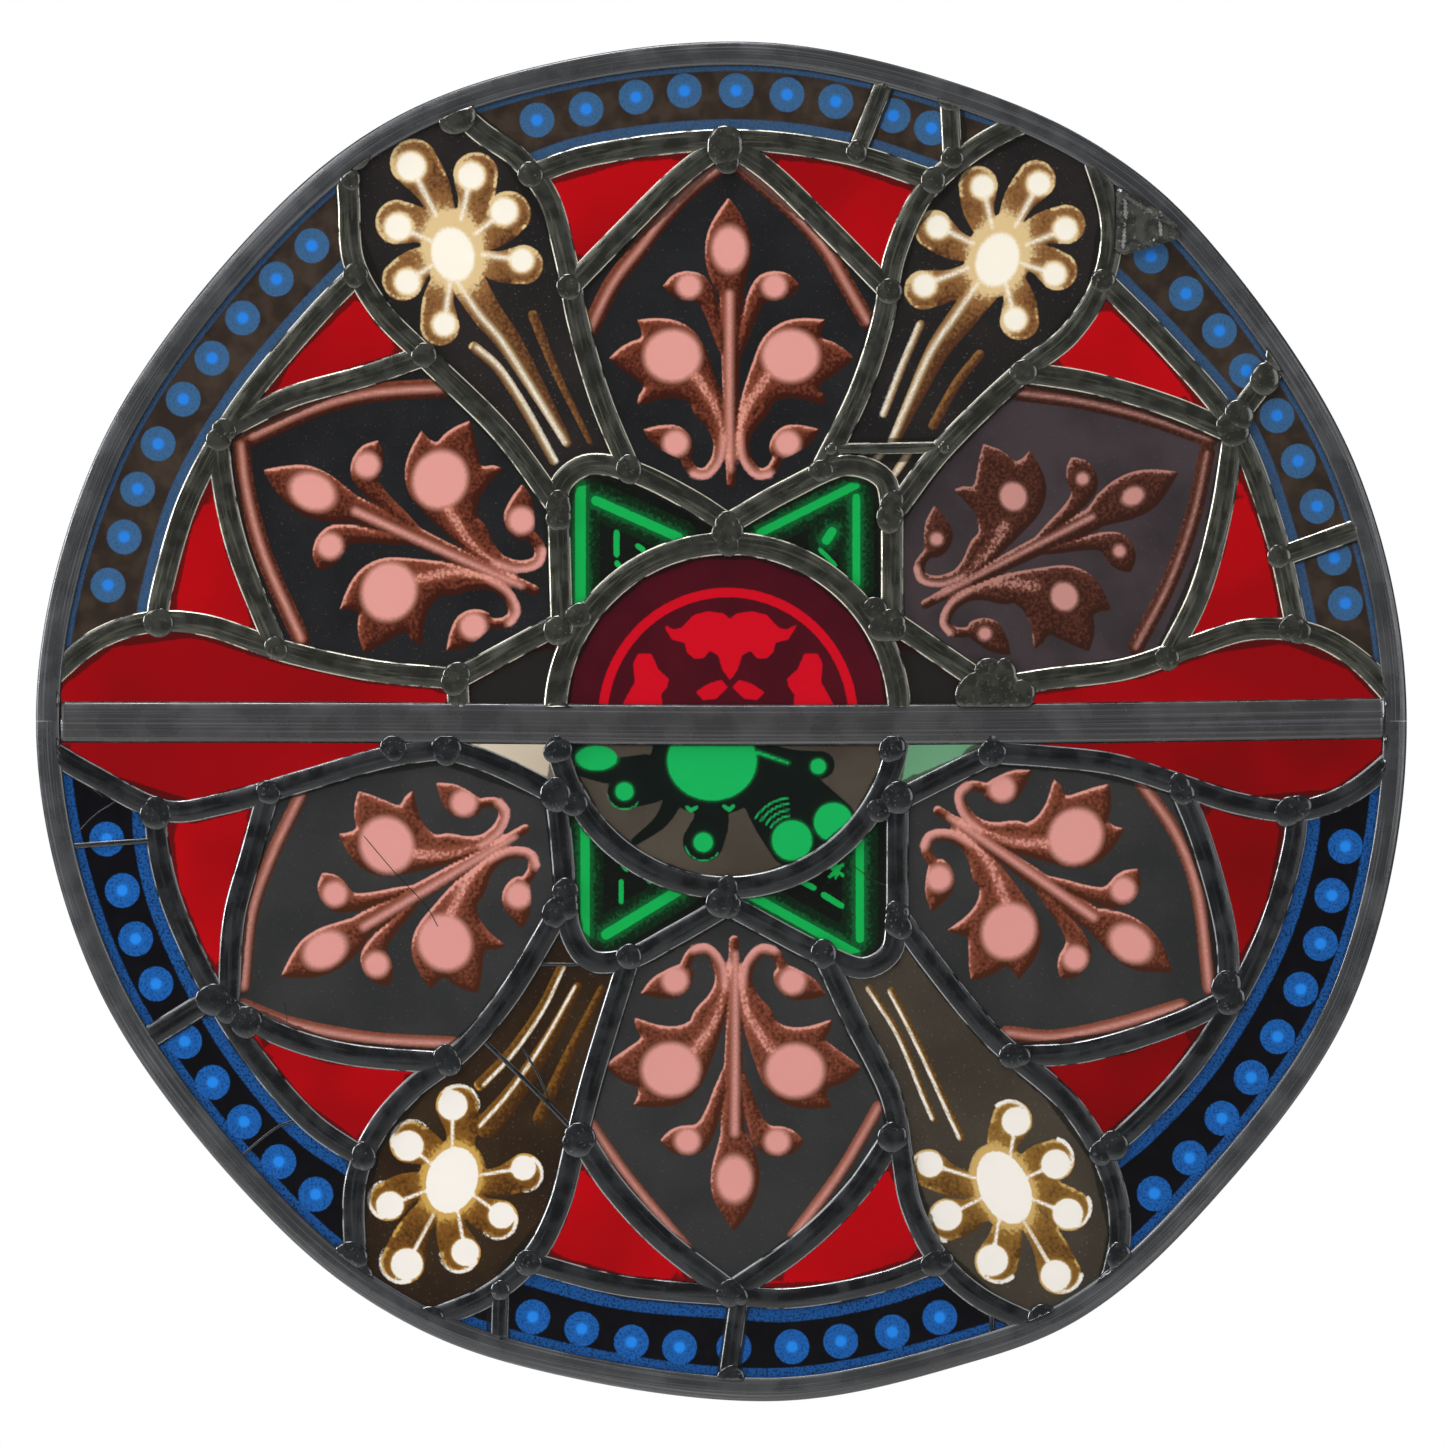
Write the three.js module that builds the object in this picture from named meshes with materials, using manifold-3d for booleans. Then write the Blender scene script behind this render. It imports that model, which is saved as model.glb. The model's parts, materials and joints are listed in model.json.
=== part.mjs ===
// Round window panel of painted and coloured glass held in lead, about half a metre across.
// It is drawn flat, x to the right and y up as seen from the front, with +z towards the viewer,
// then stood upright at the end so that the front faces -Y.
import * as THREE from 'three';
import { mergeVertices } from 'three/addons/utils/BufferGeometryUtils.js';
import Module from 'manifold-3d';

const wasm = await Module();
wasm.setup();

// Driving sizes, in millimetres.
const panelWidth = 500;
const drawnWidth = 500;
const drawnTo = panelWidth / drawnWidth;
const clearance = 0.3;
const glassThickness = 3;
const heartWidth = 1.5;
const cameWidth = 8;
const cameFrontDepth = 3.2;
const cameBackDepth = 3.0;
const cameCrownInset = 1.5;
const rimWidth = 8.8;
const rimFrontDepth = 3.4;
const rimBackDepth = 3.2;
const rimEdgeInset = 0.7;
const rimWall = 3.5;
const barWidth = 15;
const barHeart = 2;
const barFrontDepth = 3.4;
const patchThickness = 0.8;
const jointReach = 6.5;
const facetSag = 1;
const hubRadius = 62.9;
const hubCentre = [1.8, 2];
const hubBeside = 130;
const hubPoints = 8;
// The lines are drawn for a hub whose ring runs through this point.
const hubFoot = [1.9, 64.9];
const hubDrawn = Math.hypot(hubFoot[0] - hubCentre[0], hubFoot[1] - hubCentre[1]);
const rimSteps = 20;

const channelDepth = glassThickness / 2 + clearance;
const patchBack = rimFrontDepth + clearance;
const largestReach = panelWidth;

// Outside edge of the rim: the hand-bent ring is not quite round, so it is given as
// a radius at each of a few angles, counted anticlockwise from the right.
const rimEdge = [
  [0, 250], [22, 249.5], [45, 249.9], [56, 251.2], [68, 248.6], [86, 248.4], [104, 248.3],
  [119, 250.9], [134, 247.6], [157, 248.7], [180, 250.8], [203, 248.1], [229, 246],
  [243, 248.3], [256, 246.3], [275, 249.3], [290, 250.8], [301, 254.4], [315, 250.6], [336, 252],
];

// Lead lines: each follows the middle of its lead through the points given.
// A lead that ends on another one is drawn to about its middle; jointReach below makes the end exact.
const upperLeads = [
  { name: 'lobe left, outer',
    line: [[-138, 212], [-136.5, 190], [-134.8, 168], [-125, 150],
      [-110, 134.5], [-80.5, 105.5], [-60, 78]] },
  { name: 'lobe left, inner',
    line: [[-101, 227], [-88, 215], [-75, 206], [-64, 192],
      [-57.5, 170], [-53, 147], [-44.5, 117.5], [-34, 92]] },
  { name: 'border, upper left',
    line: [[-134, 163], [-149, 147.5], [-176, 114.5], [-195, 81], [-206, 42], [-206.5, 36.5]] },
  { name: 'border, top',
    line: [[-70, 199.5], [-50, 206.3], [2, 212.3], [45, 207.5], [77, 197.5]] },
  { name: 'top petal, left', line: [[1, 211.5], [-15, 199.5], [-35, 180], [-56, 158.5]] },
  { name: 'top petal, right', line: [[1, 211.5], [16, 201.5], [36, 182.5], [61, 157]] },
  { name: 'upper left petal, top',
    line: [[-109, 133.5], [-130, 126.3], [-158, 118.3], [-182, 106.5]] },
  { name: 'upper left petal, side', line: [[-184, 103], [-183, 90], [-177.5, 64], [-163, 26.5]] },
  { name: 'teardrop, upper left',
    line: [[-250, 12], [-229, 29.5], [-210, 36], [-190, 35.3],
      [-160, 25.5], [-128, 18.5], [-97, 15.5]] },
  { name: 'teardrop tip, upper left', line: [[-97, 17], [-96, -2]] },
  { name: 'star, upper left side', line: [[-60, 80], [-58.7, 34]] },
  { name: 'star, upper left tip',
    line: [[-60, 74], [-59.3, 86], [-50, 93.5], [-34, 91.5], [-12, 81], [2, 72]] },
  { name: 'star, left tip above', line: [[-52.5, 38.5], [-58.5, 36], [-97, 15.5]] },
  { name: 'star, upper right tip',
    line: [[2, 72], [24, 84.5], [46, 93.5], [59, 88.5], [62, 76]] },
  { name: 'star, upper right side', line: [[62, 80], [62, 34]] },
  { name: 'star, right tip above', line: [[55.5, 40.8], [62, 36.5], [98, 12]] },
  { name: 'star, top foot', line: [[2, 72], hubFoot] },
  { name: 'hub, upper', width: 8.6, arc: [-3, 183] },
  { name: 'lobe right, inner',
    line: [[119, 222], [104, 216], [88, 206], [73, 192],
      [63, 170], [58.5, 146], [50, 120], [36, 91.5]] },
  { name: 'lobe right, outer',
    line: [[134, 211], [142, 182], [139, 161], [127, 141.5], [110, 128], [79.5, 98.5], [61, 74]] },
  { name: 'lobe right, foot', width: 4, line: [[40, 99.4], [81, 100]] },
  { name: 'border, upper right',
    line: [[139, 161], [162, 137.5], [187, 107], [202, 68], [210, 33]] },
  { name: 'upper right petal, top', line: [[110, 127.5], [135, 123.5], [165, 114.5], [187, 105]] },
  { name: 'upper right petal, side', line: [[187, 106], [182, 75], [174, 46], [162.5, 23]] },
  { name: 'teardrop, upper right',
    line: [[98, 12], [120, 15.5], [147, 19], [171, 27],
      [193, 33.5], [215, 31.8], [232, 22.5], [250, 3.4]] },
  { name: 'teardrop tip, upper right', width: 11, line: [[98, 17], [99, -2]] },
  { name: 'strap, top left', width: 6.5, line: [[62, 240], [49, 208]] },
  { name: 'strap, top right', width: 7, line: [[82.5, 236], [84, 206]] },
  { name: 'strap, right', line: [[185, 107.5], [208, 137.5]] },
  { name: 'strap, lower right', width: 7.5, line: [[203.5, 60], [240, 73]] },
];

const lowerLeads = [
  { name: 'teardrop, lower left',
    line: [[-252, -7], [-231, -19.5], [-203, -32.8], [-183, -30.3],
      [-153, -21.8], [-122, -13], [-100, -9.8]] },
  { name: 'teardrop tip, lower left', line: [[-101, -11], [-101, 2]] },
  { name: 'star, left tip below', line: [[-102, -9.8], [-84, -15.5], [-54, -30.3]] },
  { name: 'star, lower left side', line: [[-61, -25], [-58.9, -43.6], [-57, -68]] },
  { name: 'star, lower left tip',
    line: [[-57.3, -62], [-55.5, -77], [-48.5, -87.3], [-35, -87], [-18, -78.5], [2, -67]] },
  { name: 'teardrop tip, lower right', line: [[98.5, -12], [98.5, 2]] },
  { name: 'star, right tip below', line: [[99, -11.5], [83, -19.5], [57, -32.5]] },
  { name: 'star, lower right side', line: [[64, -27], [63.9, -74]] },
  { name: 'star, lower right tip',
    line: [[63.9, -70], [61.5, -84.5], [52, -90.2], [38, -85.8], [2, -67]] },
  { name: 'star, bottom foot', line: [[2, -67], [1.9, -61]] },
  { name: 'hub, lower', width: 8.6, arc: [177, 363] },
  { name: 'lower left lobe, outer',
    line: [[-57, -65], [-79.5, -102], [-95.5, -120.5], [-113, -134],
      [-126, -149], [-134, -168], [-133, -212]] },
  { name: 'lower left lobe, inner',
    line: [[-34, -86], [-47.5, -130], [-53.5, -153], [-60, -178],
      [-69.5, -196], [-85, -209.5], [-113, -221]] },
  { name: 'lower left petal, side',
    line: [[-166, -26], [-172, -48], [-178.5, -72], [-180.5, -106]] },
  { name: 'lower left petal, foot',
    line: [[-182, -103.5], [-162, -114.5], [-138, -121.5], [-100, -125]] },
  { name: 'border, lower left',
    line: [[-207, -32], [-206.5, -43], [-200.5, -68], [-178.5, -112], [-151, -146], [-131, -160]] },
  { name: 'bottom petal, left', width: 8.8,
    line: [[-52, -152], [-40, -170], [-23, -188.5], [3, -209]] },
  { name: 'bottom petal, right', width: 8.8,
    line: [[62.5, -152], [48.5, -172], [29, -191], [3, -209]] },
  { name: 'border, bottom', width: 7.5,
    line: [[-71, -197.5], [-38, -206], [3, -209.8], [25, -210.8], [58, -205], [80, -197]] },
  { name: 'lower right lobe, inner',
    line: [[37, -85], [46, -105], [62, -138], [65.5, -158],
      [69, -177], [78.5, -196], [93, -210], [124, -225]] },
  { name: 'lower right lobe, outer',
    line: [[64, -71], [75.5, -87], [98, -114.5], [128.5, -142],
      [142.5, -168], [145.2, -188], [139.5, -214]] },
  { name: 'lower right petal, side', line: [[167, -23.5], [175, -43.5], [184, -78], [185, -103]] },
  { name: 'lower right petal, foot',
    line: [[186, -101], [166, -110.5], [131, -121], [106, -122.5]] },
  { name: 'border, lower right',
    line: [[210, -32], [208.7, -45], [198.5, -79], [174.5, -121.5], [151, -147.5], [138, -158]] },
  { name: 'teardrop, lower right',
    line: [[98, -11.5], [120, -13], [143, -15.8], [165, -22.5],
      [188, -30], [210, -32.8], [229, -26.5], [251, -9]] },
  { name: 'strap, lower left', line: [[-187, -101.5], [-219, -121.5]] },
  { name: 'strap, bottom', width: 6.5, line: [[6.2, -210], [0.4, -251]] },
  { name: 'strap, bottom left', width: 6, line: [[-81, -208], [-81.8, -238]] },
];

// Middle of the cross bar, drawn past the rim and trimmed to it.
const barLine = [[-290, 0], [-120, -0.6], [0, -1.5], [120, -0.8], [290, 1.3]];

// Sheet of lead folded over a broken end of the border at the upper right.
const patchOutline = [
  [144, 195.5], [147, 194], [159.5, 187], [166, 182], [167.5, 177], [147, 170.8], [143.5, 172],
];

// Panes: a point inside each one tells which piece of the cut sheet it is.
const paint = {
  red: 0xa80410,
  deepRed: 0x8c0306,
  darkRed: 0x7c0306,
  borderBrown: 0x3b322d,
  borderBlack: 0x07080f,
  lobe: 0x2c2827,
  lobeBrown: 0x3a2c1c,
  lobeGrey: 0x4a4238,
  petal: 0x222324,
  petalGrey: 0x343435,
  petalWorn: 0x4a4346,
  green: 0x0b6b3c,
  hubMaroon: 0x4a0816,
  hubGreen: 0x4f473f,
  tipDark: 0x2a2826,
  tipCream: 0xc8bba5,
  tipGreen: 0x5e8a6a,
};

const panes = [
  ['border_glass_upper_left', -186, 131, 'borderBrown'],
  ['border_glass_top', -20, 228, 'borderBrown'],
  ['border_glass_top_short', 70, 220, 'borderBrown'],
  ['border_glass_top_sliver', 92, 219, 'borderBrown'],
  ['border_glass_upper_right', 168, 156, 'borderBrown'],
  ['border_glass_right_middle', 215, 90, 'borderBrown'],
  ['border_glass_right_short', 226, 45, 'borderBrown'],
  ['border_glass_left', -219, -62, 'borderBlack'],
  ['border_glass_lower_left', -175, -146, 'borderBlack'],
  ['border_glass_bottom_sliver', -90, -221, 'borderBlack'],
  ['border_glass_bottom_left', -40, -224, 'borderBlack'],
  ['border_glass_bottom_right', 45, -224, 'borderBlack'],
  ['border_glass_lower_right', 211, -98, 'borderBlack'],
  ['red_glass_upper_left', -145, 138, 'red'],
  ['red_glass_left_above', -192, 55, 'red'],
  ['red_glass_top_left', -42, 195, 'red'],
  ['red_glass_top_right', 45, 195, 'red'],
  ['red_glass_upper_right', 147, 138, 'red'],
  ['red_glass_right_above', 192, 65, 'red'],
  ['red_glass_left_below', -192, -60, 'red'],
  ['red_glass_lower_left', -140, -137, 'red'],
  ['red_glass_bottom_left', -45, -190, 'red'],
  ['red_glass_bottom_right', 55, -190, 'red'],
  ['red_glass_lower_right', 148, -130, 'darkRed'],
  ['red_glass_right_below', 192, -60, 'darkRed'],
  ['teardrop_glass_upper_left', -190, 18, 'deepRed'],
  ['teardrop_glass_upper_right', 190, 18, 'deepRed'],
  ['teardrop_glass_lower_left', -190, -18, 'deepRed'],
  ['teardrop_glass_lower_right', 200, -18, 'darkRed'],
  ['lobe_glass_upper_left', -98, 172, 'lobe'],
  ['lobe_glass_upper_right', 101, 170, 'lobe'],
  ['lobe_glass_upper_right_foot', 60, 90, 'lobe'],
  ['lobe_glass_lower_left', -98, -168, 'lobeBrown'],
  ['lobe_glass_lower_right', 105, -170, 'lobeGrey'],
  ['petal_glass_top', 2, 150, 'petal'],
  ['petal_glass_upper_left', -130, 70, 'petal'],
  ['petal_glass_upper_right', 130, 70, 'petalWorn'],
  ['petal_glass_lower_left', -130, -70, 'petalGrey'],
  ['petal_glass_bottom', 3, -140, 'petalGrey'],
  ['petal_glass_lower_right', 130, -70, 'petalGrey'],
  ['star_glass_upper_left', -42, 75, 'green'],
  ['star_glass_upper_right', 43, 76, 'green'],
  ['star_glass_lower_left', -43, -70, 'green'],
  ['star_glass_lower_right', 45, -70, 'green'],
  ['hub_glass_upper', 2, 40, 'hubMaroon'],
  ['hub_glass_lower', 2, -35, 'hubGreen'],
  ['star_glass_left_above', -72, 16, 'tipDark'],
  ['star_glass_right_above', 76, 13, 'tipDark'],
  ['star_glass_left_below', -70, -13.5, 'tipCream'],
  ['star_glass_right_below', 74, -15, 'tipGreen'],
];

const flatPoint = (x, y) => new THREE.Vector3(x * drawnTo, y * drawnTo, 0);

function arcPoints(centre, radius, fromDegrees, toDegrees, count) {
  const points = [];
  for (let i = 0; i <= count; i += 1) {
    const angle = THREE.MathUtils.degToRad(fromDegrees + ((toDegrees - fromDegrees) * i) / count);
    points.push([centre[0] + radius * Math.cos(angle), centre[1] + radius * Math.sin(angle)]);
  }
  return points;
}

// What is drawn round the hub moves out or in with it, less the farther it lies from it.
function besideHub([x, y]) {
  const out = [x - hubCentre[0], y - hubCentre[1]];
  const reach = Math.hypot(...out);
  const beside = (hubBeside - reach) / (hubBeside - hubDrawn);
  const share = THREE.MathUtils.clamp(beside, 0, 1);
  const grown = 1 + ((hubRadius - hubDrawn) * share) / reach;
  return [hubCentre[0] + out[0] * grown, hubCentre[1] + out[1] * grown];
}

function drawnCurve(lead) {
  const drawn = lead.arc
    ? arcPoints(hubCentre, hubRadius, ...lead.arc, hubPoints) : lead.line.map(besideHub);
  return new THREE.CatmullRomCurve3(drawn.map(([x, y]) => flatPoint(x, y)));
}

// Straight pieces that keep a curve's facets within the sag: as for an arc as long
// as the curve that turns through the same angle.
function facetsOf(curve) {
  const { tangents } = curve.computeFrenetFrames(40, false);
  const turned = tangents.slice(1).reduce((sum, tangent, i) => sum + tangent.angleTo(tangents[i]), 0);
  return Math.max(1, Math.round(Math.sqrt((curve.getLength() * turned) / (8 * facetSag))));
}

function nearestOn(facets, point) {
  const found = facets.slice(1).map((end, i) => new THREE.Line3(facets[i], end)
    .closestPointToPoint(point, true, new THREE.Vector3()));
  return found.sort((a, b) => a.distanceTo(point) - b.distanceTo(point))[0];
}

// Joins curves: an end drawn near another lead is moved onto its middle line.
function joined(curves) {
  const facets = curves.map((curve) => curve.getSpacedPoints(facetsOf(curve)));
  return curves.map((curve, own) => {
    const others = facets.filter((line, i) => i !== own);
    const moved = (end) => {
      const found = others.map((line) => nearestOn(line, end))
        .sort((a, b) => a.distanceTo(end) - b.distanceTo(end))[0];
      return found.distanceTo(end) < jointReach ? found : end;
    };
    const points = [...curve.points];
    points[0] = moved(points[0]);
    points.push(moved(points.pop()));
    return new THREE.CatmullRomCurve3(points);
  });
}

// Moving the ends shifts the facets a little, so the leads of one half are joined twice.
const joinedCurves = (leads) => joined(joined(leads.map(drawnCurve)));

const rimCurve = new THREE.CatmullRomCurve3(
  rimEdge.map(([degrees, radius]) => {
    const angle = THREE.MathUtils.degToRad(degrees);
    return flatPoint(radius * Math.cos(angle), radius * Math.sin(angle));
  }),
  true,
);

// Line along one half of the rim, upper (0) or lower (1), set in from its outside edge
// and stopped short of both ends by a share of the whole way round.
class RimHalf extends THREE.Curve {
  constructor(half, inset, short) {
    super();
    this.from = half / 2 + short;
    this.to = (half + 1) / 2 - short;
    this.inset = inset;
  }

  getPoint(t, target = new THREE.Vector3()) {
    rimCurve.getPoint(THREE.MathUtils.euclideanModulo(this.from + (this.to - this.from) * t, 1), target);
    return target.setLength(target.length() - this.inset);
  }
}

// A profile is a closed outline of [depth, offset] pairs: depth is counted towards
// the viewer, offset to the left of the direction in which the line runs.
function sweep(curve, profile, steps) {
  const shape = new THREE.Shape(profile.map(([depth, offset]) => new THREE.Vector2(-depth, offset)));
  const geometry = new THREE.ExtrudeGeometry(shape, { steps, extrudePath: curve, bevelEnabled: false });
  return solidOf(geometry);
}

function solidOf(geometry) {
  geometry.deleteAttribute('normal');
  geometry.deleteAttribute('uv');
  const welded = mergeVertices(geometry, 1e-4);
  const mesh = new wasm.Mesh({
    numProp: 3,
    vertProperties: new Float32Array(welded.attributes.position.array),
    triVerts: new Uint32Array(welded.index.array),
  });
  return new wasm.Manifold(mesh);
}

function geometryOf(solid) {
  const mesh = solid.getMesh();
  const geometry = new THREE.BufferGeometry();
  geometry.setAttribute('position', new THREE.BufferAttribute(new Float32Array(mesh.vertProperties), 3));
  geometry.setIndex(new THREE.BufferAttribute(new Uint32Array(mesh.triVerts), 1));
  return geometry;
}

// H section: a crowned face in front and a flat one behind, joined by the heart.
function cameProfile(width, heart, front, crownInset, back) {
  const half = width / 2;
  const inner = heart / 2;
  return [
    [channelDepth, half], [channelDepth, inner], [-channelDepth, inner], [-channelDepth, half],
    [-back, half], [-back, -half], [-channelDepth, -half],
    [-channelDepth, -inner], [channelDepth, -inner], [channelDepth, -half],
    [front, crownInset - half], [front, half - crownInset],
  ];
}

const block = (halfDepth, fromOffset, toOffset) => [
  [halfDepth, toOffset], [-halfDepth, toOffset], [-halfDepth, fromOffset], [halfDepth, fromOffset],
];

function unionOf(solids) {
  return solids.reduce((whole, solid) => whole.add(solid));
}

// Rim: two half rings that meet at the left and right ends of the cross bar.
const rimInset = rimWidth / 2;
const rimProfile = [
  [channelDepth, rimInset], [channelDepth, rimWall - rimInset],
  [-channelDepth, rimWall - rimInset], [-channelDepth, rimInset],
  [-rimBackDepth, rimInset - rimEdgeInset], [-rimBackDepth, -rimInset],
  [rimFrontDepth, -rimInset], [rimFrontDepth, rimInset - rimEdgeInset],
];
const rimJoint = clearance / 2 / (Math.PI * panelWidth);
const rimHalves = [0, 1].map((half) => new RimHalf(half, rimInset, rimJoint));
const rims = rimHalves.map((curve) => sweep(curve, rimProfile, rimSteps));

// Everything outside a line set in from the rim's middle, for cutting leads and glass back.
const tall = 2 * rimFrontDepth;
const outsideOf = (inset) => unionOf([0, 1].map((half) => sweep(
  new RimHalf(half, rimInset, -rimJoint * 4),
  block(tall, -largestReach / 4, inset),
  rimSteps,
)));
const outsideLeads = outsideOf(rimWidth / 2 + clearance);
const outsideGlass = outsideOf(rimWall - rimInset + clearance);

const barCurve = new THREE.CatmullRomCurve3(barLine.map(([x, y]) => flatPoint(x, y)));
const barSteps = 6;
const barProfile = cameProfile(barWidth, barHeart, barFrontDepth, rimEdgeInset, rimBackDepth);
const bar = sweep(barCurve, barProfile, barSteps).subtract(outsideLeads);
const across = (halfWidth) => sweep(barCurve, block(tall, -halfWidth, halfWidth), barSteps);

// The body that counts is the largest one; crumbs left where a lead is cut back go.
function largest(solid) {
  return solid.decompose().sort((a, b) => b.volume() - a.volume())[0];
}

function leadMatrix(leads) {
  const curves = joinedCurves(leads);
  const strips = curves.map((curve, i) => {
    const width = leads[i].width ?? cameWidth;
    const profile = cameProfile(width, heartWidth, cameFrontDepth, cameCrownInset, cameBackDepth);
    return sweep(curve, profile, facetsOf(curve));
  });
  const trimmed = unionOf(strips).subtract(outsideLeads).subtract(across(barWidth / 2 + clearance));
  return largest(trimmed).simplify(clearance / 3);
}

// Glass: one sheet, cut by every heart with its clearance.
function cutGlass() {
  const sheet = solidOf(new THREE.BoxGeometry(largestReach * 1.1, largestReach * 1.1, glassThickness));
  const cutHalf = heartWidth / 2 + clearance;
  const cuts = [...joinedCurves(upperLeads), ...joinedCurves(lowerLeads)].map(
    (curve) => sweep(curve, block(glassThickness, -cutHalf, cutHalf), facetsOf(curve)),
  );
  const cut = unionOf([outsideGlass, across(barHeart / 2 + clearance), ...cuts]);
  return sheet.subtract(cut).simplify(clearance / 3).decompose();
}

// True where a point of the drawing lies on the front face of a pane.
function holds(geometry, x, y) {
  const { position } = geometry.attributes;
  const corners = [0, 1, 2].map(() => new THREE.Vector3());
  const found = new THREE.Vector3();
  for (let i = 0; i < geometry.index.count; i += 3) {
    corners.forEach((corner, k) => corner.fromBufferAttribute(position, geometry.index.getX(i + k)));
    const level = corners.every((corner) => corner.z > glassThickness / 4);
    const seed = flatPoint(...besideHub([x, y])).setZ(corners[0].z);
    if (level && THREE.Triangle.getBarycoord(seed, ...corners, found)
      && Math.min(found.x, found.y, found.z) >= 0) {
      return true;
    }
  }
  return false;
}

const group = new THREE.Group();
group.name = 'stained_glass_roundel';

// The origin is on the back of the rim at the foot, where the panel lies against its rebate.
const foot = rimHalves[1].getSpacedPoints(360)
  .reduce((best, point) => (Math.abs(point.x) < Math.abs(best.x) ? point : best));
const stand = new THREE.Matrix4()
  .makeRotationX(Math.PI / 2)
  .multiply(new THREE.Matrix4().makeTranslation(0, -foot.y, rimBackDepth));

function place(name, geometry, colour, roughness, metalness) {
  geometry.applyMatrix4(stand);
  geometry.computeVertexNormals();
  const material = new THREE.MeshStandardMaterial({ color: colour, roughness, metalness });
  const mesh = new THREE.Mesh(geometry, material);
  mesh.name = name;
  group.add(mesh);
}

const leadGrey = 0x55565a;
place('rim_upper', geometryOf(rims[0]), leadGrey, 0.55, 1);
place('rim_lower', geometryOf(rims[1]), leadGrey, 0.55, 1);
place('cross_bar', geometryOf(bar), 0x4d4d4f, 0.5, 1);
place('lead_matrix_upper', geometryOf(leadMatrix(upperLeads)), 0x3f403a, 0.6, 1);
place('lead_matrix_lower', geometryOf(leadMatrix(lowerLeads)), 0x2b2d30, 0.5, 1);

const patchCorners = patchOutline.map(([x, y]) => new THREE.Vector2(x * drawnTo, y * drawnTo));
const patchShape = new THREE.Shape(patchCorners);
const patch = new THREE.ExtrudeGeometry(patchShape, { depth: patchThickness, bevelEnabled: false });
patch.translate(0, 0, patchBack);
place('lead_patch', geometryOf(solidOf(patch)), 0x5a5a58, 0.6, 1);

const pieces = cutGlass().map(geometryOf);
panes.forEach(([name, x, y, colour]) => {
  const piece = pieces.find((geometry) => holds(geometry, x, y));
  place(name, piece, paint[colour], 0.25, 0);
  pieces.splice(pieces.indexOf(piece), 1);
});

export default group;
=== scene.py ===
import bpy
import bmesh
import json
import math
import numpy as np
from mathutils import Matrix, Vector, geometry


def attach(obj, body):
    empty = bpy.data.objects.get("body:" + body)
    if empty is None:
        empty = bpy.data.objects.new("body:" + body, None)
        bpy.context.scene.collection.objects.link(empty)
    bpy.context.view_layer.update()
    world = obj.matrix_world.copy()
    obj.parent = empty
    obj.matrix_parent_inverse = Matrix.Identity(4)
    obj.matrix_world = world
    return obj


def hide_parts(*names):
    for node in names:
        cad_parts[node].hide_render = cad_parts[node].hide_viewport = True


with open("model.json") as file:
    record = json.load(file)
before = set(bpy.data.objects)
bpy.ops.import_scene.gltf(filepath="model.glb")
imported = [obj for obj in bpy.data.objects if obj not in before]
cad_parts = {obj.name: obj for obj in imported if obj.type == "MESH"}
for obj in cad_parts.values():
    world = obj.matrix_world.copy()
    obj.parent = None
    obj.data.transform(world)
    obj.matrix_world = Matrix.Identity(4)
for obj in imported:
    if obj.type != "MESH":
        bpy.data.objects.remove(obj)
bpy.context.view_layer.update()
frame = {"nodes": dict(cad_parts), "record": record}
print("stage: frame loaded")

# Places are drawn in mm: x to the right and z up from the panel's middle, and depth
# to the front from the middle of the glass. The frame's origin is the rim's foot.
mm = 0.001
footDrop = 244.2
midDepth = 3.2


def linear(hexColour):
    values = [int(hexColour[i:i + 2], 16) / 255 for i in (1, 3, 5)]
    return tuple(v / 12.92 if v <= 0.04045 else ((v + 0.055) / 1.055) ** 2.4
                 for v in values) + (1.0,)


def feed(tree, socket, item):
    # An item is a value, another node's output, or a node that stands for its first output.
    if isinstance(item, bpy.types.Node):
        item = item.outputs[0]
    if isinstance(item, bpy.types.NodeSocket):
        tree.links.new(item, socket)
    else:
        socket.default_value = item


def addNode(tree, kind, sockets=(), **settings):
    # Sockets are given in turn, or by name or number in a dictionary.
    node = tree.nodes.new(kind)
    for name, value in settings.items():
        setattr(node, name, value)
    given = sockets if isinstance(sockets, dict) else dict(enumerate(sockets))
    for socket, item in given.items():
        feed(tree, node.inputs[socket], item)
    return node


def onStage(name, data):
    piece = bpy.data.objects.new(name, data)
    bpy.context.scene.collection.objects.link(piece)
    return piece


def onCircle(radius, degrees, x=0.0, z=0.0):
    turn = math.radians(degrees)
    return Vector((x + radius * math.cos(turn), z + radius * math.sin(turn)))


def newMaterial(name, look):
    material = bpy.data.materials.new(name)
    material.use_nodes = True
    tree = material.node_tree
    tree.nodes.clear()
    shader = addNode(tree, "ShaderNodeBsdfPrincipled", look)
    addNode(tree, "ShaderNodeOutputMaterial", {"Surface": shader})
    return material, tree, shader


def patches(tree, sizeMm, detail, shift=0.0, place=None):
    # Uneven patches of a real size, over the piece or over a place given in its own steps.
    step = mm if place is None else 1.0
    if place is None:
        place = addNode(tree, "ShaderNodeTexCoord").outputs["Object"]
    if shift:
        place = addNode(tree, "ShaderNodeMapping", {
            "Vector": place, "Location": (shift, shift * 0.7, shift * 1.3)})
    return addNode(tree, "ShaderNodeTexNoise", {
        "Vector": place, "Scale": 1 / (sizeMm * step), "Detail": detail}).outputs["Fac"]


def laid(tree, under, over, pattern, start, end, most=1.0):
    # Lays one colour over another as a pattern goes from start to end. A colour is a hex
    # value or the layers so far.
    amount = addNode(tree, "ShaderNodeMapRange", (pattern, start, end, 0.0, most),
                     interpolation_type="SMOOTHSTEP")
    under, over = [linear(c) if isinstance(c, str) else c for c in (under, over)]
    return addNode(tree, "ShaderNodeMix", {0: amount, 6: under, 7: over},
                   data_type="RGBA").outputs[2]


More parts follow.
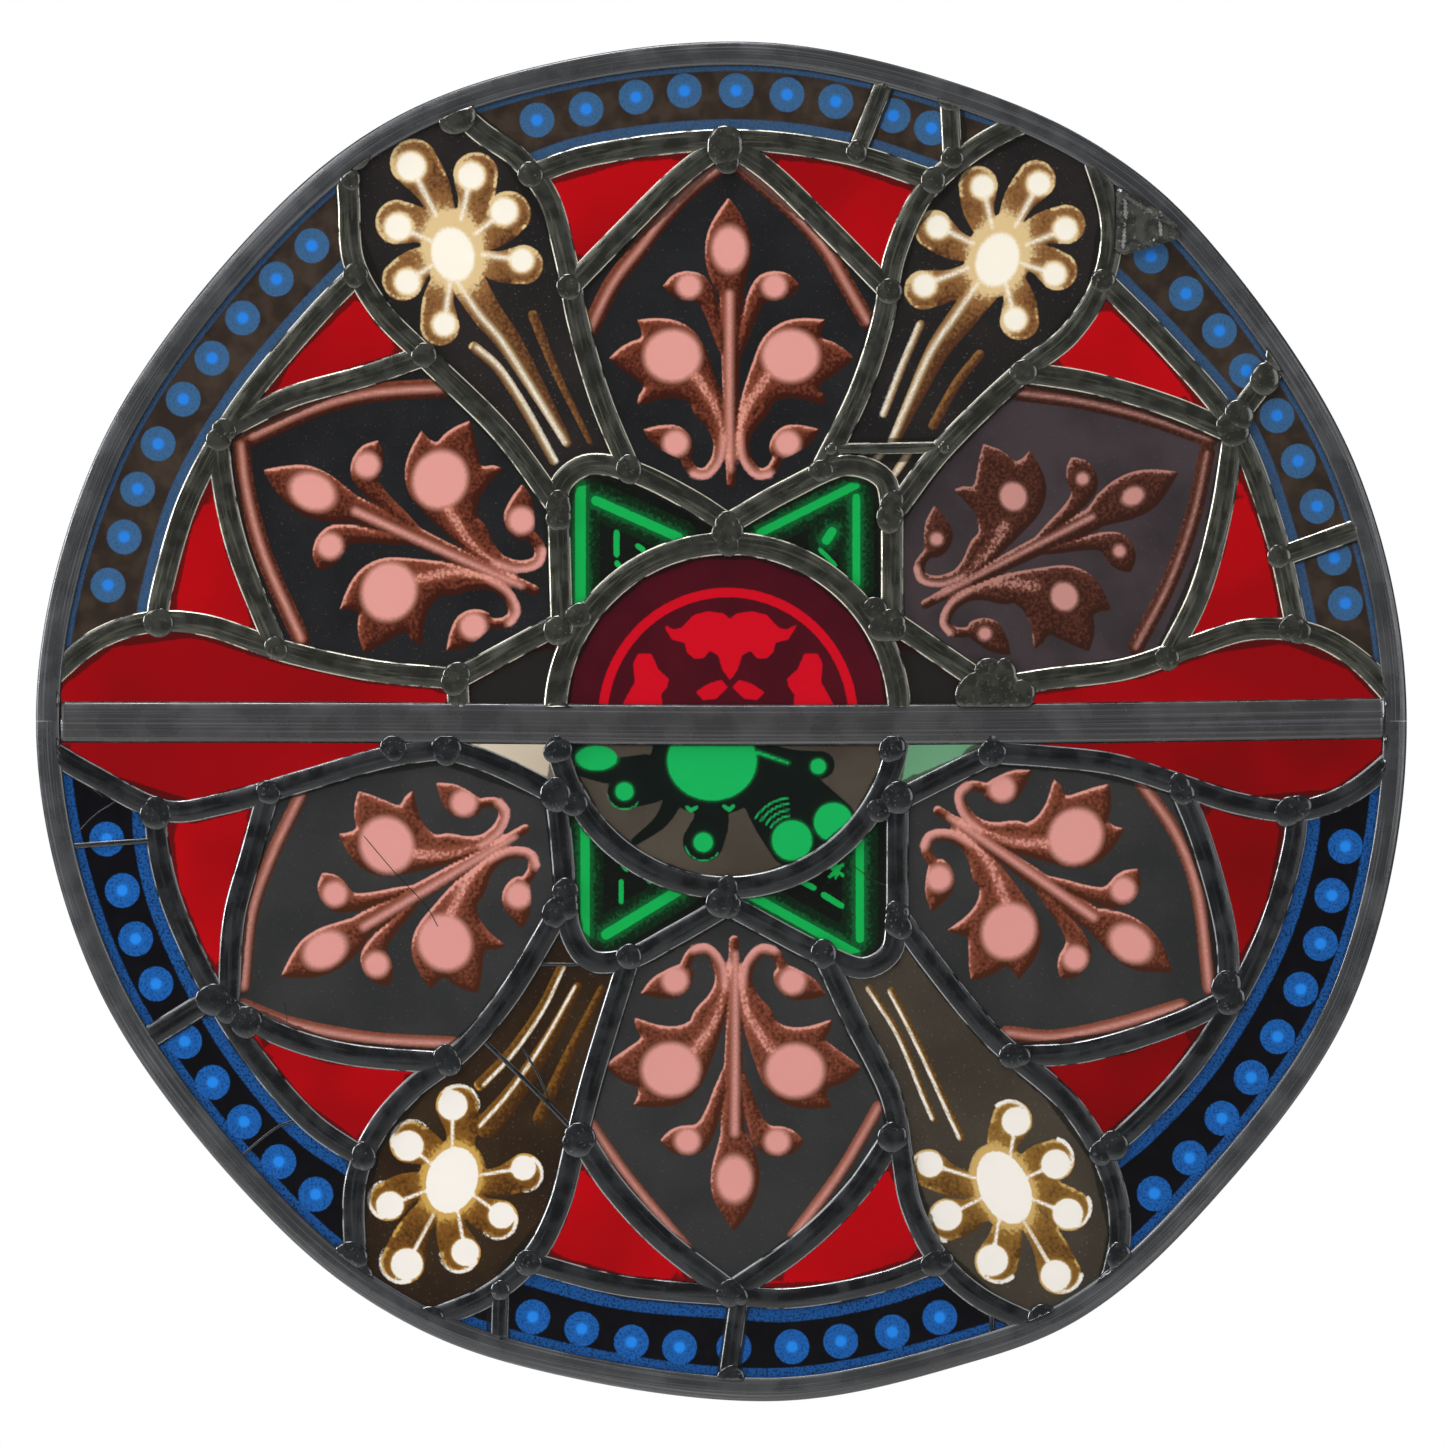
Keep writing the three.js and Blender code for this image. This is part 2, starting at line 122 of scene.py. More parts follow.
def dressShader(tree, shader, colour, height, strength, depthMm):
    feed(tree, shader.inputs["Base Color"], colour)
    bump = addNode(tree, "ShaderNodeBump", {
        "Height": height, "Strength": strength, "Distance": depthMm * mm})
    feed(tree, shader.inputs["Normal"], bump)


# The view: square on and as wide as the photograph. The white ground is seen by the camera
# and through the glass at full strength, and lights the leads far less.
view = {"widthMm": 528.1, "middleX": 0.2, "middleZ": -0.7, "distance": 4.2, "faceDepth": 0.0064,
        "sensor": 36, "clipEnd": 50, "groundLight": 0.14, "floorSize": 9, "floorHeight": -0.62}
lamps = {  # place and size in metres, power in watts
    "key": ((-1.5, -1.9, 1.9), 1.1, 32), "fill": ((1.9, -1.9, 0.6), 1.4, 17),
    "left": ((-1.9, -0.4, 0.7), 0.8, 42), "top": ((-0.3, -0.45, 2.3), 0.8, 42),
    "rear": ((0.6, 2.4, 1.2), 1.6, 24)}


def setUpView():
    camera = onStage("camera", bpy.data.cameras.new("camera"))
    camera.location = (view["middleX"] * mm, -view["distance"],
                       (view["middleZ"] + footDrop) * mm)
    camera.rotation_euler = (math.pi / 2, 0, 0)
    camera.data.sensor_width = view["sensor"]
    camera.data.lens = (view["sensor"] * (view["distance"] - view["faceDepth"])
                        / (view["widthMm"] * mm))
    camera.data.clip_end = view["clipEnd"]
    bpy.context.scene.camera = camera
    bpy.context.scene.view_settings.view_transform = "Standard"

    world = bpy.data.worlds.new("studio")
    bpy.context.scene.world = world
    world.use_nodes = True
    tree = world.node_tree
    tree.nodes.clear()
    path = addNode(tree, "ShaderNodeLightPath").outputs
    seen = addNode(tree, "ShaderNodeMath", (path["Is Camera Ray"], path["Is Transmission Ray"]),
                   operation="MAXIMUM")
    around = addNode(tree, "ShaderNodeMath", (
        seen, 1 - view["groundLight"], view["groundLight"]), operation="MULTIPLY_ADD")
    ground = addNode(tree, "ShaderNodeBackground", {"Color": (1, 1, 1, 1), "Strength": around})
    addNode(tree, "ShaderNodeOutputWorld", {"Surface": ground})

    middle = Vector((0, 0, footDrop * mm))
    for name, (place, size, power) in lamps.items():
        lamp = onStage(name, bpy.data.lights.new(name, "AREA"))
        lamp.data.size = size
        lamp.data.energy = power
        lamp.location = place
        lamp.visible_transmission = False  # the glass shows the white ground, not the lamps
        lamp.rotation_euler = (middle - lamp.location).to_track_quat("-Z", "Y").to_euler()

    bpy.ops.mesh.primitive_plane_add(size=view["floorSize"], location=(0, 0, view["floorHeight"]))
    floor = bpy.context.object
    floor.name = "floor"
    # Painted board: matt and nearly white, so that it only carries the light.
    material = newMaterial("painted_board", {"Base Color": linear("#F2F1EE"), "Roughness": 0.8})[0]
    floor.data.materials.append(material)


setUpView()
print("stage: view set")

# The rim's outer edge, as an angle in degrees and a reach in mm: bent by hand, not quite round.
rimLine = [
    (0, 250), (22, 249.5), (45, 249.9), (56, 251.2), (68, 248.6), (86, 248.4), (104, 248.3),
    (119, 250.9), (134, 247.6), (157, 248.7), (180, 250.8), (203, 248.1), (229, 246), (243, 248.3),
    (256, 246.3), (275, 249.3), (290, 250.8), (301, 254.4), (315, 250.6), (336, 252)]
rim = {"width": 8.8, "front": 3.4, "back": 3.2, "heart": 6.5, "round": 1.1,
       "gapDegrees": 0.004, "coversLeads": 7.4}
barLine = [(-252, -0.4), (-120, -0.6), (0, -1.5), (120, -0.8), (252, 1.1)]
bar = {"width": 15, "front": 3.4, "back": 3.2, "heart": 2, "round": 0.6,
       "endsInside": 8.4, "leadsAbove": 5.2, "leadsBelow": -5.4}
came = {"width": 8.0, "spread": 0.2, "front": 3.2, "back": 3.0, "flange": 1.6, "heart": 1.5,
        "round": 0.62, "crown": 0.75, "sunkMost": 0.4, "runsOn": 1.6}
hub = {"x": 1.8, "z": 2.0, "radius": 62.9, "width": 8.6, "steps": 90}

# The inner edge of the border, which both the leads and the painted bands follow.
borderLines = {
    "upper_left": [(-134, 163), (-149, 147.5), (-176, 114.5), (-195, 81), (-206, 42),
        (-206.5, 36.5)],
    "top": [(-76, 197), (-50, 206.3), (2, 212.3), (45, 207.5), (82, 195.5)],
    "upper_right": [(139, 161), (162, 137.5), (187, 107), (202, 68), (210, 33)],
    "lower_left": [(-207, -32), (-206.5, -43), (-200.5, -68), (-178.5, -112), (-151, -146),
        (-131, -160)],
    "bottom": [(-76, -196), (-38, -206), (3, -209.8), (25, -210.8), (58, -205), (86, -195)],
    "lower_right": [(210, -32), (208.7, -45), (198.5, -79), (174.5, -121.5), (151, -147.5),
        (138, -158)]}

# Lead lines: points along the middle, with a width before them where it isn't the usual one.
upperLeads = [
    [(-138, 212), (-136.5, 190), (-134.8, 168), (-125, 150), (-110, 134.5), (-80.5, 105.5),
        (-60, 78)],
    [(-101, 227), (-88, 215), (-75, 206), (-64, 192), (-57.5, 170), (-53, 147), (-44.5, 117.5),
        (-34, 92)],
    borderLines["upper_left"],
    [(-70, 199.5), (-50, 206.3), (2, 212.3), (45, 207.5), (77, 197.5)],
    [(1, 211.5), (-15, 199.5), (-35, 180), (-56, 158.5)],
    [(1, 211.5), (16, 201.5), (36, 182.5), (61, 157)],
    [(-109, 133.5), (-130, 126.3), (-158, 118.3), (-182, 106.5)],
    [(-184, 103), (-183, 90), (-177.5, 64), (-163, 26.5)],
    [(-250, 12), (-229, 29.5), (-210, 36), (-190, 35.3), (-160, 25.5), (-128, 18.5), (-97, 15.5)],
    [(-97, 17), (-96, -2)],
    [(-60, 80), (-58.7, 34)],
    [(-60, 74), (-59.3, 86), (-50, 93.5), (-34, 91.5), (-12, 81), (2, 72)],
    [(-52.5, 38.5), (-58.5, 36), (-97, 15.5)],
    [(2, 72), (24, 84.5), (46, 93.5), (59, 88.5), (62, 76)],
    [(62, 80), (62, 34)],
    [(55.5, 40.8), (62, 36.5), (98, 12)],
    [(2, 72), (1.9, 65)],
    [(119, 222), (104, 216), (88, 206), (73, 192), (63, 170), (58.5, 146), (50, 120), (36, 91.5)],
    [(134, 211), (142, 182), (139, 161), (127, 141.5), (110, 128), (79.5, 98.5), (61, 74)],
    (4, [(40, 99.4), (81, 100)]),
    borderLines["upper_right"],
    [(110, 127.5), (135, 123.5), (165, 114.5), (187, 105)],
    [(187, 106), (182, 75), (174, 46), (162.5, 23)],
    [(98, 12), (120, 15.5), (147, 19), (171, 27), (193, 33.5), (215, 31.8), (232, 22.5),
        (250, 3.4)],
    (11, [(98, 17), (99, -2)]),
    (6.5, [(62, 240), (49, 208)]),
    (7, [(82.5, 236), (84, 206)]),
    [(185, 107.5), (208, 137.5)],
    (7.5, [(203.5, 60), (240, 73)])]
lowerLeads = [
    [(-252, -7), (-231, -19.5), (-203, -32.8), (-183, -30.3), (-153, -21.8), (-122, -13),
        (-100, -9.8)],
    [(-101, -11), (-101, 2)],
    [(-102, -9.8), (-84, -15.5), (-54, -30.3)],
    [(-61, -25), (-58.9, -43.6), (-57, -68)],
    [(-57.3, -62), (-55.5, -77), (-48.5, -87.3), (-35, -87), (-18, -78.5), (2, -67)],
    [(98.5, -12), (98.5, 2)],
    [(99, -11.5), (83, -19.5), (57, -32.5)],
    [(64, -27), (63.9, -74)],
    [(63.9, -70), (61.5, -84.5), (52, -90.2), (38, -85.8), (2, -67)],
    [(2, -67), (1.9, -61)],
    [(-57, -65), (-79.5, -102), (-95.5, -120.5), (-113, -134), (-126, -149), (-134, -168),
        (-133, -212)],
    [(-34, -86), (-47.5, -130), (-53.5, -153), (-60, -178), (-69.5, -196), (-85, -209.5),
        (-113, -221)],
    [(-166, -26), (-172, -48), (-178.5, -72), (-180.5, -106)],
    [(-182, -103.5), (-162, -114.5), (-138, -121.5), (-100, -125)],
    borderLines["lower_left"],
    (8.8, [(-52, -152), (-40, -170), (-23, -188.5), (3, -209)]),
    (8.8, [(62.5, -152), (48.5, -172), (29, -191), (3, -209)]),
    (7.5, [(-71, -197.5), (-38, -206), (3, -209.8), (25, -210.8), (58, -205), (80, -197)]),
    [(37, -85), (46, -105), (62, -138), (65.5, -158), (69, -177), (78.5, -196), (93, -210),
        (124, -225)],
    [(64, -71), (75.5, -87), (98, -114.5), (128.5, -142), (142.5, -168), (145.2, -188),
        (139.5, -214)],
    [(167, -23.5), (175, -43.5), (184, -78), (185, -103)],
    [(186, -101), (166, -110.5), (131, -121), (106, -122.5)],
    borderLines["lower_right"],
    [(98, -11.5), (120, -13), (143, -15.8), (165, -22.5), (188, -30), (210, -32.8), (229, -26.5),
        (251, -9)],
    [(-187, -101.5), (-219, -121.5)],
    (6.5, [(6.2, -210), (0.4, -251)]),
    (6, [(-81, -208), (-81.8, -238)])]

# Thin mending strips and lead-filled cracks: width, how proud of the glass, path.
mends = [
    (1.9, 1.0, [(-240, -45.8), (-209, -43.6)]),
    (0.9, 0.6, [(-178, -161), (-173, -156.5), (-162, -148), (-156, -146)]),
    (0.5, 0.2, [(-235, -40), (-229, -34), (-222, -29.5)]),
    (0.5, 0.2, [(-236, -20), (-226.4, -27.5)]),
    (1.7, 0.7, [(-89, -115), (-77.3, -126.2), (-67.5, -136), (-55, -149)]),
    (0.9, 0.5, [(-73, -119.5), (-68, -128), (-63, -138.7)]),
    (1.2, 0.6, [(-67, -88.8), (-52, -89)]),
    (0.35, 0.1, [(-131, -42), (-120, -55), (-108, -68), (-104, -75)]),
    (0.35, 0.1, [(48, -53), (55, -58), (61, -60.5)]),
    (2.0, 1.0, [(98.5, -214), (98.5, -226)]),
    (0.3, 0.1, [(-160, -103), (-159, -110)])]
mendStrip = {"front": 1.5, "back": 1.4, "flange": 0.6, "round": 0.12,
             "heartShare": 0.5, "crownShare": 0.2, "crownMost": 0.5}

# Solder: place, reach across the lead and swelling above it, besides the one at each lead end.
solderLumps = [
    (205, 134, 6.5, 1.3), (198, 125, 5.5, 1.2), (189, 112, 6, 1.2), (-97, 221, 6.5, 1.3),
    (1, 209, 6.5, 1.2), (92, 10, 7, 1.1), (101, 14, 7, 1.0), (108, 9, 6, 1.0), (98, 8, 9, 1.0),
    (103, 17, 6, 0.9), (-97, 221, 6.5, 1.1), (-120, -10, 5, 0.8), (-61, -27, 6, 1.1),
    (64, -28, 6, 1.1), (0, -66, 6, 1.0), (-61, -70, 5, 0.8), (65, -75, 5, 0.8),
    (-186, -102, 6, 1.0), (-174, -110, 6, 0.9), (184, -97, 5.5, 0.9), (-136, -196, 6, 1.0),
    (-134, -204, 6, 0.9), (-107, -219, 6, 1.0), (145, -196, 6, 1.0), (143, -205, 5.5, 0.9),
    (117, -219, 6, 1.0), (3, -240, 5, 0.8), (-71, -198, 5, 0.8), (78, -198, 5, 0.8),
    (-53, -154, 5.5, 0.9), (62, -152, 5.5, 0.9), (-131, -159, 5.5, 0.9), (143, -155, 5.5, 0.9),
    (108, -122, 5, 0.8), (-101, -123, 5, 0.8), (-207, -34, 6, 0.9), (207, -33, 6, 0.9),
    (168, -26, 5, 0.8), (1, 211, 6.5, 1.2), (2, 204, 4.5, 0.8), (-60, 33, 5.5, 1.0),
    (60, 35, 6, 1.0), (2, 69, 5.5, 0.8), (-134, 207, 5.5, 1.1), (-136, 198, 4.5, 0.8),
    (84, 228, 5.5, 1.0), (-60, 3, 5.5, 0.8), (-60, -11, 5.5, 0.8), (62, -10, 5.5, 0.9),
    (-98, 14, 5, 0.8), (-206, 36, 5.5, 0.9), (208, 34, 5.5, 0.9), (-246, 8, 4.5, 0.7),
    (-246, -9, 4.5, 0.7), (246, 6, 4.5, 0.7), (246, -7, 4.5, 0.7)]
solder = {"sunk": 0.4, "endSunk": 0.45, "endShare": 0.6, "endSwell": 0.85,
          "uneven": 1.0, "grain": 7.0, "insideRim": 238, "besideBar": 9}


def smoothPath(points, step=1.5, closed=False):
    given = [Vector(p) for p in points]
    if closed:
        given = [given[-1]] + given + given[:2]
    else:
        given = [given[0] * 2 - given[1]] + given + [given[-1] * 2 - given[-2]]
    path = []
    for a, b, c, d in zip(given, given[1:], given[2:], given[3:]):
        # Centripetal spacing keeps uneven steps from looping.
        t1 = (b - a).length ** 0.5
        t2 = t1 + (c - b).length ** 0.5
        t3 = t2 + (d - c).length ** 0.5
        count = max(1, round((c - b).length / step))
        for i in range(count):
            t = t1 + (t2 - t1) * i / count
            a1 = a + (b - a) * (t / t1)
            a2 = b + (c - b) * ((t - t1) / (t2 - t1))
            a3 = c + (d - c) * ((t - t2) / (t3 - t2))
            b1 = a1 + (a2 - a1) * (t / t2)
            b2 = a2 + (a3 - a2) * ((t - t1) / (t3 - t1))
            path.append(b1 + (b2 - b1) * ((t - t1) / (t2 - t1)))
    if not closed:
        path.append(given[-2])
    return path


def pathCurve(name, points):
    data = bpy.data.curves.new(name, "CURVE")
    data.dimensions = "3D"
    spline = data.splines.new("POLY")
    spline.points.add(len(points) - 1)
    for slot, point in zip(spline.points, points):
        slot.co = (point[0] * mm, point[1] * mm, 0, 1)
    return onStage(name, data)


def newTree(name, sizes):
    # A Geometry Nodes tree with named inputs, and the identifier of each.
    tree = bpy.data.node_groups.new(name, "GeometryNodeTree")
    kinds = {"Geometry": "Geometry", **dict.fromkeys(sizes, "Float"), "Material": "Material"}
    ports = {key: tree.interface.new_socket(
        key, in_out="INPUT", socket_type="NodeSocket" + kind).identifier
        for key, kind in kinds.items()}
    tree.interface.new_socket("Geometry", in_out="OUTPUT", socket_type="NodeSocketGeometry")
    return tree, ports, addNode(tree, "NodeGroupInput").outputs


def stoodUp(tree, shape):
    # Turns what is drawn flat into the panel's upright plane.
    return addNode(tree, "GeometryNodeTransform", {
        "Geometry": shape, "Rotation": (math.pi / 2, 0, 0),
        "Translation": (0, -midDepth * mm, footDrop * mm)})


def madeSolid(tree, shape, material):
    real = addNode(tree, "GeometryNodeRealizeInstances", {"Geometry": shape})
    dressed = addNode(tree, "GeometryNodeSetMaterial", {"Geometry": real, "Material": material})
    addNode(tree, "NodeGroupOutput", {"Geometry": dressed})


def leadTree():
    # Sweeps a rounded front flange, a heart and a back flange along a path drawn in x and y,
    # then stands it up. "across" runs from -1 to 1 over the face, "along" is in metres.
    tree, ports, inputs = newTree("lead_sweep", (
        "Width", "Front", "Back", "Flange", "Heart", "Round", "Crown"))
    length = addNode(tree, "GeometryNodeSplineParameter").outputs["Length"]
    path = addNode(tree, "GeometryNodeStoreNamedAttribute", {
        "Geometry": inputs["Geometry"], "Name": "along", "Value": length},
        data_type="FLOAT", domain="POINT")
    up = addNode(tree, "GeometryNodeSetCurveNormal", {"Curve": path}, mode="Z_UP")

    def strip(width, low, high, rounding=None):
        # One closed strip of the profile between two depths. A rounded one is crowned too.
        height = addNode(tree, "ShaderNodeMath", (high, low), operation="SUBTRACT")
        shape = addNode(tree, "GeometryNodeCurvePrimitiveQuadrilateral", {
            "Width": width, "Height": height})
        if rounding is not None:
            shape = addNode(tree, "GeometryNodeFilletCurve", {
                "Curve": shape, "Radius": rounding, "Count": 3, "Limit Radius": True},
                mode="POLY")
            shape = addNode(tree, "GeometryNodeResampleCurve", {"Curve": shape, "Count": 30})
        position = addNode(tree, "GeometryNodeInputPosition")
        where = addNode(tree, "ShaderNodeSeparateXYZ", {"Vector": position}).outputs
        halfWidth = addNode(tree, "ShaderNodeMath", (inputs["Width"], 0.5), operation="MULTIPLY")
        part = addNode(tree, "ShaderNodeMath", (where["X"], halfWidth), operation="DIVIDE")
        if rounding is not None:
            face = addNode(tree, "ShaderNodeMath", (where["Y"], 0.0), operation="GREATER_THAN")
            square = addNode(tree, "ShaderNodeMath", (part, part), operation="MULTIPLY")
            rise = addNode(tree, "ShaderNodeMath", (1.0, square),
                           operation="SUBTRACT", use_clamp=True)
            lift = addNode(tree, "ShaderNodeMath", (face, rise), operation="MULTIPLY")
            lift = addNode(tree, "ShaderNodeMath", (lift, inputs["Crown"]), operation="MULTIPLY")
            raised = addNode(tree, "ShaderNodeCombineXYZ", {"Y": lift})
            shape = addNode(tree, "GeometryNodeSetPosition", {"Geometry": shape, "Offset": raised})
        shape = addNode(tree, "GeometryNodeStoreNamedAttribute", {
            "Geometry": shape, "Name": "across", "Value": part},
            data_type="FLOAT", domain="POINT")
        # The swept profile hangs upside down, so it is turned half round.
        depths = addNode(tree, "ShaderNodeMath", (high, low), operation="ADD")
        middle = addNode(tree, "ShaderNodeMath", (depths, -0.5), operation="MULTIPLY")
        place = addNode(tree, "ShaderNodeCombineXYZ", {"Y": middle})
        shape = addNode(tree, "GeometryNodeTransform", {
            "Geometry": shape, "Translation": place, "Rotation": (0, 0, math.pi)})
        return addNode(tree, "GeometryNodeCurveToMesh", {
            "Curve": up, "Profile Curve": shape, "Fill Caps": True})

    faceInside = addNode(tree, "ShaderNodeMath", (inputs["Front"], inputs["Flange"]),
                         operation="SUBTRACT")
    face = addNode(tree, "ShaderNodeMath", (inputs["Front"], inputs["Crown"]),
                   operation="SUBTRACT")
    backInside = addNode(tree, "ShaderNodeMath", (inputs["Flange"], inputs["Back"]),
                         operation="SUBTRACT")
    back = addNode(tree, "ShaderNodeMath", (inputs["Back"], -1.0), operation="MULTIPLY")
    joined = addNode(tree, "GeometryNodeJoinGeometry")
    for part in (strip(inputs["Width"], faceInside, face, inputs["Round"]),
                 strip(inputs["Heart"], backInside, faceInside),
                 strip(inputs["Width"], back, backInside)):
        feed(tree, joined.inputs[0], part)
    madeSolid(tree, stoodUp(tree, joined), inputs["Material"])
    return tree, ports


def solderTree():
    # A flattened, uneven lump on every point, as wide as its "reach" and as high as its "swell".
    tree, ports, inputs = newTree("solder_lumps", ("Uneven", "Grain"))
    ball = addNode(tree, "GeometryNodeMeshIcoSphere", {"Radius": 1.0, "Subdivisions": 3})
    reach, swell = [addNode(tree, "GeometryNodeInputNamedAttribute", {"Name": name},
                            data_type="FLOAT") for name in ("reach", "swell")]
    wider, turn = [addNode(tree, "FunctionNodeRandomValue", {"Min": low, "Max": high, "Seed": seed},
                           data_type="FLOAT").outputs[1]
                   for low, high, seed in ((0.8, 1.2, 5), (0.0, 6.2, 9))]
    longer = addNode(tree, "ShaderNodeMath", (reach, wider), operation="MULTIPLY")
    size = addNode(tree, "ShaderNodeCombineXYZ", {"X": reach, "Y": longer, "Z": swell})
    spun = addNode(tree, "ShaderNodeCombineXYZ", {"Z": turn})
    lumps = addNode(tree, "GeometryNodeInstanceOnPoints", {
        "Points": inputs["Geometry"], "Instance": ball, "Scale": size, "Rotation": spun})
    solid = addNode(tree, "GeometryNodeRealizeInstances", {"Geometry": lumps})
    scale = addNode(tree, "ShaderNodeMath", (1.0, inputs["Grain"]), operation="DIVIDE")
    wave = addNode(tree, "ShaderNodeTexNoise", {"Scale": scale, "Detail": 2.0}).outputs["Fac"]
    swing = addNode(tree, "ShaderNodeMath", (wave, 0.5), operation="SUBTRACT")
    push = addNode(tree, "ShaderNodeMath", (swing, inputs["Uneven"]), operation="MULTIPLY")
    # Solder flows sideways much more than it stands up.
    outward = addNode(tree, "ShaderNodeVectorMath", (
        addNode(tree, "GeometryNodeInputNormal"), (1.6, 1.6, 0.35)), operation="MULTIPLY")
    offset = addNode(tree, "ShaderNodeVectorMath", {"Vector": outward, "Scale": push},
                     operation="SCALE")
    moved = addNode(tree, "GeometryNodeSetPosition", {"Geometry": solid, "Offset": offset})
    smooth = addNode(tree, "GeometryNodeSetShadeSmooth", {"Geometry": stoodUp(tree, moved)})
    madeSolid(tree, smooth, inputs["Material"])
    return tree, ports


def evaluated(source, tree, ports, values, name):
    modifier = source.modifiers.new("build", "NODES")
    modifier.node_group = tree
    for key, value in values.items():
        modifier[ports[key]] = value
    bpy.context.view_layer.update()
    depsgraph = bpy.context.evaluated_depsgraph_get()
    mesh = bpy.data.meshes.new_from_object(source.evaluated_get(depsgraph))
    source.modifiers.remove(modifier)
    data = source.data
    bpy.data.objects.remove(source)
    (bpy.data.curves if isinstance(data, bpy.types.Curve) else bpy.data.meshes).remove(data)
    return onStage(name, mesh)


def fused(pieces, name):
    bpy.ops.object.select_all(action="DESELECT")
    for piece in pieces:
        piece.select_set(True)
    bpy.context.view_layer.objects.active = pieces[0]
    bpy.ops.object.join()
    whole = bpy.context.view_layer.objects.active
    whole.name = name
    whole.data.name = name
    return whole


def vertexPlaces(mesh):
    places = np.zeros(len(mesh.vertices) * 3)
    mesh.vertices.foreach_get("co", places)
    return places.reshape(-1, 3)


def moveVertices(mesh, places):
    mesh.vertices.foreach_set("co", places.ravel())
    mesh.update()


def finished(piece, node):
    places = vertexPlaces(piece.data)
    places[:, 1] = np.minimum(places[:, 1], 0.0)  # nothing stands behind the wall plane
    moveVertices(piece.data, places)
    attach(piece, "root")
    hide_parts(node)


def leadMaterial(name, face, dark, bright, edge, edgeLineStrength, lines, blotchMm):
    # Milled lead came, dulled by weather and cement: soft grey, streaked along its length. A line
    # is painted at each edge
    # of the flange: on the cames a pale painted highlight, with some cement in it, and on the rim
    # and bar a painted shade.
    material, tree, shader = newMaterial(name, {
        "Metallic": 0.4, "Roughness": 0.3, "Specular IOR Level": 0.8})
    across, along = [addNode(tree, "ShaderNodeAttribute", attribute_name=key).outputs["Fac"]
                     for key in ("across", "along")]
    stretched = [addNode(tree, "ShaderNodeMath", (place, scale), operation="MULTIPLY")
                 for place, scale in zip((along, across), lines)]
    strip = addNode(tree, "ShaderNodeCombineXYZ", stretched)
    streak = patches(tree, 1.0, 4.0, place=strip)
    blotch = patches(tree, blotchMm, 4.0)
    fine = patches(tree, 1.0, 3.0, 0.3)
    colour = laid(tree, dark, face, blotch, 0.35, 0.68)
    colour = laid(tree, colour, bright, streak, 0.5, 0.66, 0.7)
    colour = laid(tree, colour, dark, streak, 0.48, 0.34, 0.8)
    colour = laid(tree, colour, bright, fine, 0.64, 0.78, 0.3)
    # The painted edge line is broken here and there.
    patchy = addNode(tree, "ShaderNodeMapRange", (
        patches(tree, 9.0, 5.0, 0.9), 0.38, 0.5, 0.0, edgeLineStrength), interpolation_type="SMOOTHSTEP")
    side = addNode(tree, "ShaderNodeMath", (across,), operation="ABSOLUTE")
    # Painted highlight along the flange edges of the cames, and painted shade along the edges of
    # the rim and bar.
    colour = laid(tree, colour, edge, side, 0.87, 0.92, patchy)
    feed(tree, shader.inputs["Roughness"], addNode(tree, "ShaderNodeMapRange", (
        blotch, 0.3, 0.7, 0.16, 0.4), interpolation_type="SMOOTHSTEP"))
    drawn = addNode(tree, "ShaderNodeMath", (streak, 0.8), operation="MULTIPLY")
    height = addNode(tree, "ShaderNodeMath", (fine, 0.35, drawn), operation="MULTIPLY_ADD")
    dressShader(tree, shader, colour, height, 0.3, 0.3)
    return material


# Face, dark, bright and edge colours (the edge a painted highlight, with cement on the upper cames,
# and a painted shade on the rim and bar), strength of the edge line, streaks along and across,
# blotches in mm.
upperLead = leadMaterial("weathered_lead_came", "#31322C", "#272822", "#57584C", "#EDE7D5",
                         0.85, (40, 3.0), 7.0)
lowerLead = leadMaterial("newer_lead_came", "#1C1E21", "#141517", "#34373B", "#D0D3D7",
                         0.5, (24, 2.2), 8.0)
rimLead = leadMaterial("bent_lead_rim", "#434447", "#3D3E40", "#66686C", "#2A2B2E",
                       0.5, (10, 7.0), 12.0)
barLead = leadMaterial("drawn_lead_bar", "#434344", "#3F3F40", "#62626A", "#202024",
                       0.8, (3, 9.0), 14.0)


def solderMaterial(name, face, dark, bright):
    # Tinman's solder, wiped and greyed: smoother and a little shinier than the lead, with pits.
    material, tree, shader = newMaterial(name, {
        "Metallic": 0.3, "Roughness": 0.14, "Specular IOR Level": 0.9})
    blotch = patches(tree, 4.0, 4.0, 0.2)
    fine = patches(tree, 1.2, 3.0, 0.6)
    colour = laid(tree, dark, face, blotch, 0.38, 0.64)
    colour = laid(tree, colour, bright, fine, 0.6, 0.74, 0.5)
    height = addNode(tree, "ShaderNodeMath", (fine, 0.12, blotch), operation="MULTIPLY_ADD")
    dressShader(tree, shader, colour, height, 0.2, 0.3)
    return material


upperSolder = solderMaterial("old_solder", "#3A3B35", "#2A2B26", "#807F74")
lowerSolder = solderMaterial("newer_solder", "#2A2C2F", "#1A1C1F", "#75787C")
# Sheet lead beaten over the break, as dull as solder with pale rubbed folds.
patchLead = solderMaterial("beaten_lead_patch", "#4A4B47", "#2C2D2A", "#A9A79C")
sweep, sweepPorts = leadTree()
lumpTree, lumpPorts = solderTree()


def sweptLead(line, width, material, **sizes):
    # Sizes in mm, where they aren't the usual came's.
    values = {key.title(): sizes.get(key, came[key]) * mm
              for key in ("front", "back", "flange", "heart", "round", "crown")}
    values.update({"Width": width * mm, "Material": material})
    return evaluated(pathCurve("lead", line), sweep, sweepPorts, values, "lead")


def solderLumpsAt(lumps, material):
    mesh = bpy.data.meshes.new("solder")
    mesh.from_pydata([(x * mm, z * mm, depth * mm) for x, z, depth, reach, swell in lumps], [], [])
    for key, index in (("reach", 3), ("swell", 4)):
        mesh.attributes.new(key, "FLOAT", "POINT").data.foreach_set(
            "value", [lump[index] * mm for lump in lumps])
    return evaluated(onStage("solder", mesh), lumpTree, lumpPorts, {
        "Uneven": solder["uneven"] * mm, "Grain": solder["grain"] * mm, "Material": material},
        "solder")


